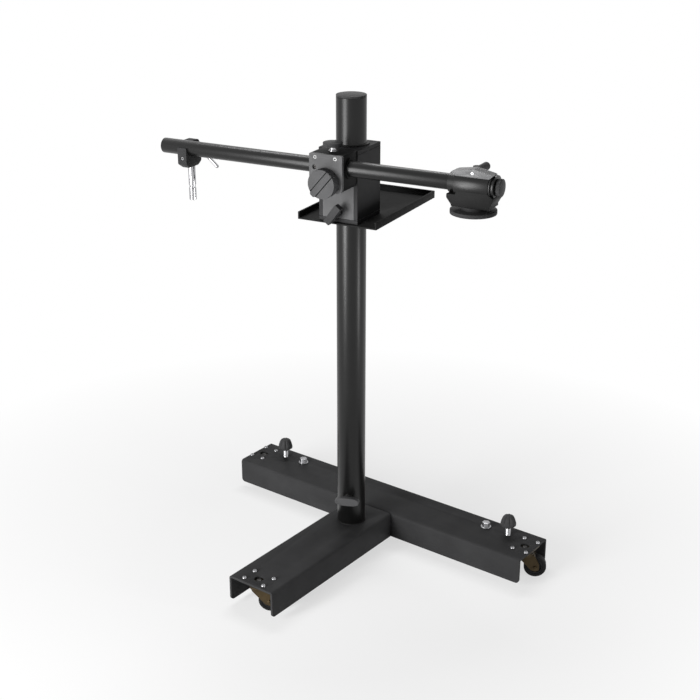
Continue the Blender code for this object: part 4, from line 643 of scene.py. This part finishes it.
def fluted_knob(side, seat):
    profile = [(0, KNOB_TOP), (0.0062, KNOB_TOP), (0.0090, 0.1214), (0.0112, 0.1200), (0.0130, 0.1176),
               (0.0144, 0.1144), (0.0156, 0.1110), (0.0166, 0.1076), (0.0174, 0.1046), (0.0178, 0.1016),
               (0.0176, KNOB_UNDER), (0.0076, KNOB_UNDER), (0.0072, 0.0912), (0.0063, 0.0912),
               (0.0063, 0.1058), (0, 0.1058)]
    form = turned_form(profile, edge=0.0006)
    for vert in form.verts:
        radius = math.hypot(vert.co.x, vert.co.y)
        if radius < HUB_CLEAR:
            continue
        angle = math.atan2(vert.co.y, vert.co.x)
        rise = min(max((vert.co.z - KNOB_UNDER) / FLUTE_RUN_OUT, FLUTE_LEAST), 1.0)
        depth = FLUTE_DEPTH * rise * max(math.cos(angle * FLUTES), 0.0) ** 0.8
        shrink = (radius - depth) / radius
        vert.co.x *= shrink
        vert.co.y *= shrink
    finished("levelling_knob_fluted_" + side, form, seat, "level_screw_" + side, "knob_plastic",
             replaces=("levelling_knob_" + side,))


def thread_form(radius, low, high, pitch=0.00175, depth=0.0005):
    """A screw's shank: rings of crest and root, close enough to read as a thread."""
    profile = [(0, high)]
    rings = int((high - low) / pitch)
    for ring in range(rings):
        profile.append((radius - depth, high - ring * pitch))
        profile.append((radius, high - (ring + 0.5) * pitch))
    profile.append((radius - depth, low))
    profile.append((0, low))
    return turned_form(profile, steps=32, edge=0)


for side, place in LEVEL_PLACES.items():
    seat = BASE @ shift(*place)
    fluted_knob(side, seat)
    finished("levelling_thread_" + side, thread_form(radius=0.0060, low=0.0153, high=0.1055), seat,
             "level_screw_" + side, "chrome", replaces=("levelling_screw_" + side,))
    turned("levelling_foot_round_" + side, [
        (0, 0.0100), (0.0043, 0.0100), (0.0043, 0.0150), (0.0075, 0.0150), (0.0075, 0.0080),
        (0.0065, 0.0070), (0, 0.0070)], seat, "level_foot_" + side, "knob_plastic",
        replaces=("levelling_foot_" + side,))
print("levelling screws dressed")

# %% [markdown]
# The column is a drawn tube, enamelled after a threaded boss was welded on for the lock. It has to be
# smooth, because the two light lines that run down it show every facet, so it is spun in many steps.

# %% Column, cap and boss
COLUMN_RADIUS = 0.03175
COLUMN_INSIDE = 0.02875
TUBE_TOP = 1.0517
TUBE_FOOT = 0.0753
turned("column_round", [
    (COLUMN_RADIUS, TUBE_TOP), (COLUMN_RADIUS, TUBE_FOOT), (COLUMN_INSIDE, TUBE_FOOT),
    (COLUMN_INSIDE, TUBE_TOP)], UPPER, "column", "column_paint", closed=True, steps=160, edge=0.0005,
    replaces=("column_tube",))
turned("column_cap_round", [(0, 1.0560), (COLUMN_RADIUS, 1.0560), (COLUMN_RADIUS, 1.0520),
                            (0.02845, 1.0520), (0.02845, 1.0360), (0, 1.0360)], UPPER, "column",
       "knob_plastic", steps=128, edge=0.0008, replaces=("column_cap",))
turned("column_lock_boss", [(0.0110, 0.0350), (0.0110, 0.0290), (0.0048, 0.0290), (0.0048, 0.0350)],
       COLUMN_LOCK @ FRONT, "column", "column_paint", closed=True, edge=0.0005)
turned("column_foot_ring", [
    (0.02845, 0.1133), (0.02845, 0.0750), (0.03145, 0.0750), (0.03145, 0.0733), (0.0253, 0.0733),
    (0.0253, 0.1133)], UPPER, "base", "bush_nylon", closed=True, edge=0.0003,
    replaces=("column_bush_lower",))
print("column dressed")

# %% [markdown]
# The column's lock is a wing knob: a plump oval plate on a short hub. Its face has a raised rim round a
# sunken middle. The oval is a circle whose points are moved out towards a rounded box, which is a
# superellipse.

# %% Column lock knob
WING_LONG = 0.055
WING_HIGH = 0.019
WING_BACK = 0.038
WING_FACE = 0.051
WING_POWER = 2.0 / 2.6


def wing_knob():
    form = bmesh.new()
    bmesh.ops.create_circle(form, cap_ends=True, segments=96, radius=1.0)
    for vert in form.verts:
        x, y = vert.co.x, vert.co.y
        vert.co.x = math.copysign(abs(x) ** WING_POWER, x) * WING_LONG / 2
        vert.co.y = math.copysign(abs(y) ** WING_POWER, y) * WING_HIGH / 2
    grown = bmesh.ops.extrude_face_region(form, geom=list(form.faces), use_keep_orig=True)["geom"]
    upper = [item for item in grown if isinstance(item, bmesh.types.BMVert)]
    bmesh.ops.translate(form, vec=(0, 0, WING_FACE - WING_BACK), verts=upper)
    soften(form, 0.0012, 3)
    flat = max(form.faces, key=lambda face: (face.calc_center_median().z, face.calc_area()))
    bmesh.ops.inset_region(form, faces=[flat], thickness=0.0014, depth=0.0)
    bmesh.ops.inset_region(form, faces=[flat], thickness=0.0004, depth=-0.0006)
    return form


# Painted light: the wing is painted lighter grey for the front lamp's light on its face.
finished("column_lock_wing", wing_knob(), COLUMN_LOCK @ FRONT @ shift(0, 0, WING_BACK), "lock_knob",
         "knob_plastic", look=LIT_KNOB_PAINT, replaces=("column_lock_knob",))
turned("column_lock_hub", [(0, 0.0400), (0.0090, 0.0400), (0.0090, 0.0353), (0.0040, 0.0353),
                           (0.0040, 0.0303), (0, 0.0303)], COLUMN_LOCK @ FRONT, "lock_knob",
       "knob_plastic", edge=0.0004)
print("lock knob dressed")

# %% [markdown]
# The carriage is a box of flat plates screwed together round the column, with the seams left to see.
# The tray under it is one folded sheet with a doubled hem. Their copies only need eased edges.

# %% Carriage and tray
for node in ("carriage_bottom_plate", "carriage_top_plate", "carriage_left_plate",
             "carriage_right_plate", "carriage_rear_plate"):
    rounded_copy(node, 0.0003)
# Painted light: the front plate is painted lighter grey for the front lamp's light.
rounded_copy("carriage_front_plate", 0.0003, look=LIT_FACE_PAINT)
rounded_copy("tray", 0.0005, look=MATT_SHEET)
turned("guide_collar", [(0.0380, 0.1568), (0.0380, 0.1543), (0.0346, 0.1543), (0.0346, 0.1403),
                        (0.03205, 0.1403), (0.03205, 0.1568)], CARRIAGE, "carriage", "bush_nylon",
       closed=True, steps=128, edge=0.0005, replaces=("guide_bush_upper",))
print("carriage dressed")

# %% [markdown]
# The brake below the clamp has a plain bar handle with round corners on a short hub. A set screw holds
# the bar to its stem. A cube is scaled to the bar, and the edges are rounded twice: the corners of the
# face widely and all the rest finely.

# %% Brake knob
def bar_form(length, height, low, high, corner, edge):
    form = bmesh.new()
    bmesh.ops.create_cube(form, size=1.0)
    bmesh.ops.scale(form, vec=(length, height, high - low), verts=form.verts)
    corners = [item for item in form.edges if abs(item.verts[0].co.z - item.verts[1].co.z) > TINY]
    bmesh.ops.bevel(form, geom=corners, offset=corner, segments=8, profile=0.5, affect="EDGES",
                    material=-1)
    bmesh.ops.translate(form, vec=(0, 0, (low + high) / 2), verts=form.verts)
    soften(form, edge, 3)
    return form


BRAKE_HEIGHT = 0.0215
BRAKE_TURN = Matrix.Rotation(math.radians(52.5), 4, "Z")
BRAKE = CARRIAGE @ shift(0, 0, BRAKE_HEIGHT) @ FRONT
finished("brake_bar",
         bar_form(length=0.0460, height=0.0150, low=0.073, high=0.087, corner=0.0014, edge=0.0005),
         BRAKE @ BRAKE_TURN, "brake", "knob_plastic", replaces=("brake_knob",))
turned("brake_stem", [
    (0, 0.0750), (0.0090, 0.0750), (0.0090, 0.0588), (0.0050, 0.0588), (0.0050, 0.0488), (0, 0.0488)],
    BRAKE, "brake", "knob_plastic")
screw("brake_set_screw", BRAKE @ shift(0.0091, 0.0010, 0.0665) @ RIGHT, "brake", "knob_plastic",
      (0.0016, 0.0008, 0.0008), look=FINISHES["raw_steel"])
print("brake dressed")

# %% [markdown]
# The clamp is a solid block with a separate face plate held by countersunk screws, and a hole through
# which an adjusting screw can be reached. Plate and block keep a fine seam between them. The plate's
# front is painted lighter grey with a satin grain, as painted light from the front lamp, and the block
# is painted nearly black, as painted shade on the sides that face away from the lamps.

# %% Clamp block, face plate and screws
# Painted shade on the block, painted light on the face plate.
rounded_copy("clamp_block", 0.0006, 3, look=SHADE_SIDE)
rounded_copy("clamp_front_plate", 0.0006, 3, look=LIT_FACE_PAINT)
FACE = 0.1220
FACE_SCREWS = ((-0.0240, 0.0495), (0.0215, 0.0495), (-0.0200, -0.0090), (0.0200, -0.0090))
for number, (across, up) in enumerate(FACE_SCREWS):
    screw("face_screw_%d" % number, CLAMP @ shift(across, -FACE + 0.0001, up) @ FRONT, "clamp",
          "machined_black", (0.0038, 0.0021, 0.0019), look=WORN_STEEL, sunk=0.0016)
screw("adjusting_screw", CLAMP @ shift(-0.0255, -FACE + 0.0035, 0.0290) @ FRONT, "clamp",
      "machined_black", (0.0044, 0.0021, 0.0030), look=OXIDE_AND_HOLLOW_SHADE)
# Painted shade: the nylon bushes are painted nearly black.
for name, facing in (("arm_bush_right", RIGHT), ("arm_bush_left", LEFT)):
    turned(name + "_round", [(0.0205, 0.0408), (0.0205, 0.0378), (0.0180, 0.0378), (0.0180, 0.0155),
                             (0.0163, 0.0155), (0.0163, 0.0408)], ARM @ facing, "clamp", "bush_nylon",
           closed=True, edge=0.0004, look=SHADE_SIDE, replaces=(name,))
print("clamp dressed")

# %% [markdown]
# The tilt knob is the largest one. Its rim is ribbed for grip, and its face is cut by two deep grooves
# with a thumb bar between them that runs a little past the rim. The face starts as a disc, four cuts
# mark the grooves, and the two narrow strips are pushed in. The ribs are drawn into the rim at the end.

# %% Tilt knob
KNOB_RADIUS = 0.030
KNOB_FACE = 0.142
KNOB_BACK = 0.1223
RIBS = 60
RIB_DEPTH = 0.0007
RIM_BAND = 0.0009
GROOVE_INNER = 0.00675
GROOVE_OUTER = 0.00875
GROOVE_DEPTH = 0.004
BAR_ANGLE = Matrix.Rotation(math.radians(49.0), 4, "Z")
BAR_ASIDE = 0.002


def ribbed(form, radius, ribs, depth):
    """Draw ribs into every point that lies on the rim."""
    for vert in form.verts:
        here = math.hypot(vert.co.x, vert.co.y)
        if here < radius - RIM_BAND:
            continue
        angle = math.atan2(vert.co.y, vert.co.x)
        shrink = 1.0 - depth * (0.5 + 0.5 * math.cos(angle * ribs)) / here
        vert.co.x *= shrink
        vert.co.y *= shrink


def tilt_knob_form():
    form = bmesh.new()
    bmesh.ops.create_circle(form, cap_ends=True, segments=4 * RIBS, radius=KNOB_RADIUS)
    for up in (-GROOVE_OUTER, -GROOVE_INNER, GROOVE_INNER, GROOVE_OUTER):
        everything = list(form.verts) + list(form.edges) + list(form.faces)
        bmesh.ops.bisect_plane(form, geom=everything, plane_co=(0, up, 0), plane_no=(0, 1, 0),
                               dist=TINY)
    rim = [edge for edge in form.edges if len(edge.link_faces) == 1]
    drawn = bmesh.ops.extrude_edge_only(form, edges=rim)["geom"]
    lower = [item for item in drawn if isinstance(item, bmesh.types.BMVert)]
    bmesh.ops.translate(form, vec=(0, 0, KNOB_BACK - KNOB_FACE), verts=lower)
    low_set = set(lower)
    low_rim = [item for item in drawn if isinstance(item, bmesh.types.BMEdge)
               and item.verts[0] in low_set and item.verts[1] in low_set]
    bmesh.ops.contextual_create(form, geom=low_rim)
    strips = [face for face in form.faces
              if GROOVE_INNER < abs(face.calc_center_median().y) < GROOVE_OUTER and face.normal.z != 0
              and face.calc_center_median().z > -TINY]
    sunk = bmesh.ops.extrude_face_region(form, geom=strips)["geom"]
    bmesh.ops.delete(form, geom=strips, context="FACES_ONLY")
    sunk_verts = [item for item in sunk if isinstance(item, bmesh.types.BMVert)]
    bmesh.ops.translate(form, vec=(0, 0, -GROOVE_DEPTH), verts=sunk_verts)
    ribbed(form, KNOB_RADIUS, RIBS, RIB_DEPTH)
    bmesh.ops.recalc_face_normals(form, faces=form.faces)
    bmesh.ops.triangulate(form, faces=[face for face in form.faces if len(face.verts) > 4])
    return form


TILT = CLAMP @ FRONT
# Painted light: the knob and its bar are painted lighter grey for the front lamp's light on the face.
finished("tilt_knob_body", tilt_knob_form(), TILT @ shift(0, 0, KNOB_FACE) @ BAR_ANGLE, "tilt_knob",
         "knob_plastic", look=LIT_KNOB_PAINT, replaces=("tilt_knob",))
finished("tilt_knob_bar",
         bar_form(length=0.0620, height=0.0135, low=0.1360, high=0.1426, corner=0.0045, edge=0.0006),
         TILT @ BAR_ANGLE @ shift(-BAR_ASIDE, 0, 0), "tilt_knob", "knob_plastic", look=LIT_KNOB_PAINT)
print("tilt knob dressed")

# %% [markdown]
# On top of the block a ribbed disc on a plated stud presses on the arm. Two washers lie under it. The
# stud and the washers are bright, so they are pieces of their own with the plated finish.

# %% Arm lock
DISC_RIB_DEPTH = 0.0005


def ribbed_disc(name, radius, low, high, place, body, replaces, ribs=48):
    form = turned_form([(0, high), (radius, high), (radius, (low + high) / 2), (radius, low), (0, low)],
                       steps=4 * ribs, edge=0.0007)
    ribbed(form, radius, ribs, DISC_RIB_DEPTH)
    return finished(name, form, place, body, "knob_plastic", replaces=replaces)


ARM_LOCK = CLAMP @ shift(0, -0.091, 0)
ribbed_disc("arm_lock_disc", 0.0200, 0.0680, 0.0760, ARM_LOCK, "arm_lock", ("arm_lock_knob",))
turned("arm_lock_stud", [(0, 0.0681), (0.0050, 0.0681), (0.0050, 0.0423), (0, 0.0423)], ARM_LOCK,
       "arm_lock", "knob_plastic", look=FINISHES["chrome"])
for number, (radius, low, high) in enumerate(((0.0070, 0.0660, 0.0679), (0.0070, 0.0594, 0.0613),
                                              (0.0085, 0.0573, 0.0592))):
    turned("arm_lock_washer_%d" % number, [
        (radius, high), (radius, low), (0.0051, low), (0.0051, high)], ARM_LOCK, "arm_lock",
        "knob_plastic", closed=True, edge=0.0003, look=FINISHES["chrome"])
print("arm lock dressed")

# %% [markdown]
# The cross arm is the column's tube in small, with a plug in its left end.

# %% Cross arm
turned("arm_round", [(0.0160, 0.2770), (0.0160, -0.4100), (0.0130, -0.4100), (0.0130, 0.2770)],
       ARM @ RIGHT, "arm", "column_paint", closed=True, steps=128, edge=0.0004, replaces=("arm_tube",))
turned("arm_cap_round", [(0, -0.3953), (0.0127, -0.3953), (0.0127, -0.4103), (0.0160, -0.4103),
                         (0.0157, -0.4112), (0.0146, -0.4122), (0.0120, -0.4130), (0, -0.4133)],
       ARM @ RIGHT, "arm", "knob_plastic", replaces=("arm_end_cap",))
print("arm dressed")

# %% [markdown]
# The bracket on the arm is a machined saddle. A bright bolt shows in its cheek, a plated bar handle
# closes it from behind, and the light stud hangs from it: a turned spigot, with a waist where a
# clamping screw can grip.

# %% Stud bracket, stud and lever
rounded_copy("stud_bracket", 0.0006, 3)
screw("bracket_bolt", BRACKET @ shift(0, -0.0178, -0.020) @ FRONT, "bracket", "machined_black",
      (0.0036, 0.0017, 0.0018), look=FINISHES["chrome"])
turned("light_stud_turned", [
    (0, -0.0300), (0.0060, -0.0300), (0.0060, -0.0423), (0.0080, -0.0423), (0.0080, -0.0830),
    (0.0068, -0.0843), (0.0068, -0.0897), (0.0080, -0.0910), (0.0080, -0.1160), (0.0070, -0.1170),
    (0, -0.1170)], BRACKET @ shift(0, 0.015, 0), "bracket", "chrome", edge=0.0003,
    replaces=("light_stud",))
LEVER = BRACKET @ shift(0, 0, -0.005)
turned("bracket_lever_hub", [
    (0, 0.0488), (0.0080, 0.0488), (0.0080, 0.0373), (0.0040, 0.0373), (0.0040, 0.0163), (0, 0.0163)],
    LEVER @ BACK, "bracket_lever", "chrome", edge=0.0007, replaces=("bracket_lever",))
LEVER_BAR = 0.0040
dome = [(LEVER_BAR * math.sin(math.radians(angle)), 0.0610 + LEVER_BAR * math.cos(math.radians(angle)))
        for angle in range(0, 91, 15)]
tail = [(LEVER_BAR * math.cos(math.radians(angle)), -0.0100 - LEVER_BAR * math.sin(math.radians(angle)))
        for angle in range(0, 91, 15)]
turned("bracket_lever_bar", dome + tail,
       LEVER @ shift(0, 0.04305, 0) @ Matrix.Rotation(math.radians(130.0), 4, "Y"), "bracket_lever",
       "chrome", steps=32, edge=0)
print("bracket dressed")

# %% [markdown]
# The head's barrel is turned, with a collar on the arm and an end plate split off by two fine rings. A
# neck below carries the mounting disc, painted darker than the rest of the head as painted shade under
# the barrel. The neck's outline is drawn as a face and pushed out to its width.
# The fairing on top is a cast cover with flat facets, so its shallow edges are kept crisp.

# %% Head barrel and neck
turned("head_barrel", [
    (0, 0.0470), (0.0235, 0.0470), (0.0235, 0.0425), (0.0225, 0.0420), (0.0225, 0.0410),
    (0.0260, 0.0405), (0.0260, 0.0380), (0.0245, 0.0375), (0.0245, 0.0368), (0.0260, 0.0365),
    (0.0260, -0.0340), (0.0200, -0.0345), (0.0200, -0.0490), (0.0163, -0.0490), (0.0163, -0.0300),
    (0, -0.0300)],
    HEAD @ RIGHT, "head", "machined_black", steps=128, edge=0.0004, look=FINISHES["column_paint"],
    replaces=("head_body",))


def slab_form(outline, near, far, edge):
    """A flat outline in the XZ plane, given a width from near to far along Y."""
    form = bmesh.new()
    face = form.faces.new([form.verts.new((x, near, z)) for x, z in outline])
    grown = bmesh.ops.extrude_face_region(form, geom=[face], use_keep_orig=True)["geom"]
    bmesh.ops.translate(form, vec=(0, far - near, 0),
                        verts=[item for item in grown if isinstance(item, bmesh.types.BMVert)])
    bmesh.ops.recalc_face_normals(form, faces=form.faces)
    soften(form, edge, 3)
    return form


# Painted shade: the neck is painted darker for the shadow under the barrel.
finished("head_neck", slab_form([
    (-0.0480, -0.0175), (-0.0480, -0.0245), (-0.0470, -0.0262), (-0.0392, -0.0362), (-0.0380, -0.0385),
    (-0.0380, -0.0410), (0.0410, -0.0410), (0.0410, -0.0355), (0.0422, -0.0335), (0.0470, -0.0248),
    (0.0480, -0.0225), (0.0480, -0.0175), (0.0365, -0.0095), (-0.0280, -0.0095), (-0.0300, -0.0175)],
    near=-0.024, far=0.024, edge=0.0008), HEAD, "head", "machined_black", look=SHADED_NECK_PAINT)
GRIP = HEAD @ shift(-0.002, 0.015, 0)
turned("head_grip_boss", [(0, 0.0265), (0.0075, 0.0265), (0.0075, 0.0145), (0, 0.0145)], GRIP, "head",
       "machined_black")
FACET_CREASE = math.radians(12.0)
rounded_copy("head_fairing", 0.0004, look=BRIGHT_ALUMINIUM, crease=FACET_CREASE)
print("head dressed")

# %% [markdown]
# One bright screw holds the fairing. It is what the eye finds first on a black head, so it is a real
# socket screw in its own seat, a ring painted dark as painted shade round the head.

# %% Head screw
FAIRING_SCREW = HEAD @ shift(0.002, -0.0187, 0.026) @ FRONT
screw("fairing_screw", FAIRING_SCREW, "head", "machined_black", (0.0030, 0.0016, 0.0012),
      look=FINISHES["raw_steel"])
# Painted shade: the seat ring is painted dark for the shade round the screw head.
turned("fairing_screw_seat", [
    (0.0031, -0.0002), (0.0043, -0.0006), (0.0043, -0.0012), (0.0031, -0.0012)], FAIRING_SCREW, "head",
    "machined_black", closed=True, steps=48, edge=0, look=OXIDE_AND_HOLLOW_SHADE)
print("fairing screw set")

# %% [markdown]
# A thick mounting disc pans on the neck, with its screw standing out below. The head's lever is a
# moulded grip on a round hub, wider at its end, and a ribbed knob closes the head's right end.

# %% Disc, lever and end knob
turned("disc_round", [
    (0, -0.0297), (0.0080, -0.0297), (0.0080, -0.0413), (0.0240, -0.0413), (0.0240, -0.0480),
    (0.0460, -0.0480), (0.0460, -0.0560), (0.00476, -0.0560), (0.00476, -0.0640), (0.0037, -0.0650),
    (0, -0.0650)], HEAD, "disc", "machined_black", steps=128, edge=0.0009, replaces=("mount_disc",))
GRIP_DROOP = math.radians(7.0)
turned("head_lever_hub", [
    (0, 0.0332), (0.0078, 0.0332), (0.0078, 0.0268), (0.0040, 0.0268), (0.0040, 0.0178), (0, 0.0178)],
    GRIP, "head_lever", "knob_plastic", edge=0.0008, replaces=("head_lever",))
grip_end = [(0.0085 * math.sin(math.radians(angle)), 0.0469 + 0.0051 * math.cos(math.radians(angle)))
            for angle in range(0, 91, 15)]
turned("head_lever_grip",
       grip_end + [(0.0080, 0.0420), (0.0062, 0.0260), (0.0052, 0.0078), (0.0052, 0), (0, 0)],
       GRIP @ shift(0, 0, 0.0282) @ Matrix.Rotation(-math.pi / 2 - GRIP_DROOP, 4, "X"),
       "head_lever", "knob_plastic", steps=48, edge=0)
ribbed_disc("end_knob_disc", 0.0175, 0.0483, 0.0573, HEAD @ RIGHT, "end_knob", ("head_end_knob",),
            ribs=40)
turned("end_knob_stud", [(0, 0.0484), (0.0105, 0.0484), (0.0105, 0.0473), (0.0050, 0.0473),
                         (0.0050, 0.0363), (0, 0.0363)], HEAD @ RIGHT, "end_knob", "knob_plastic")
print("disc, lever and end knob dressed")
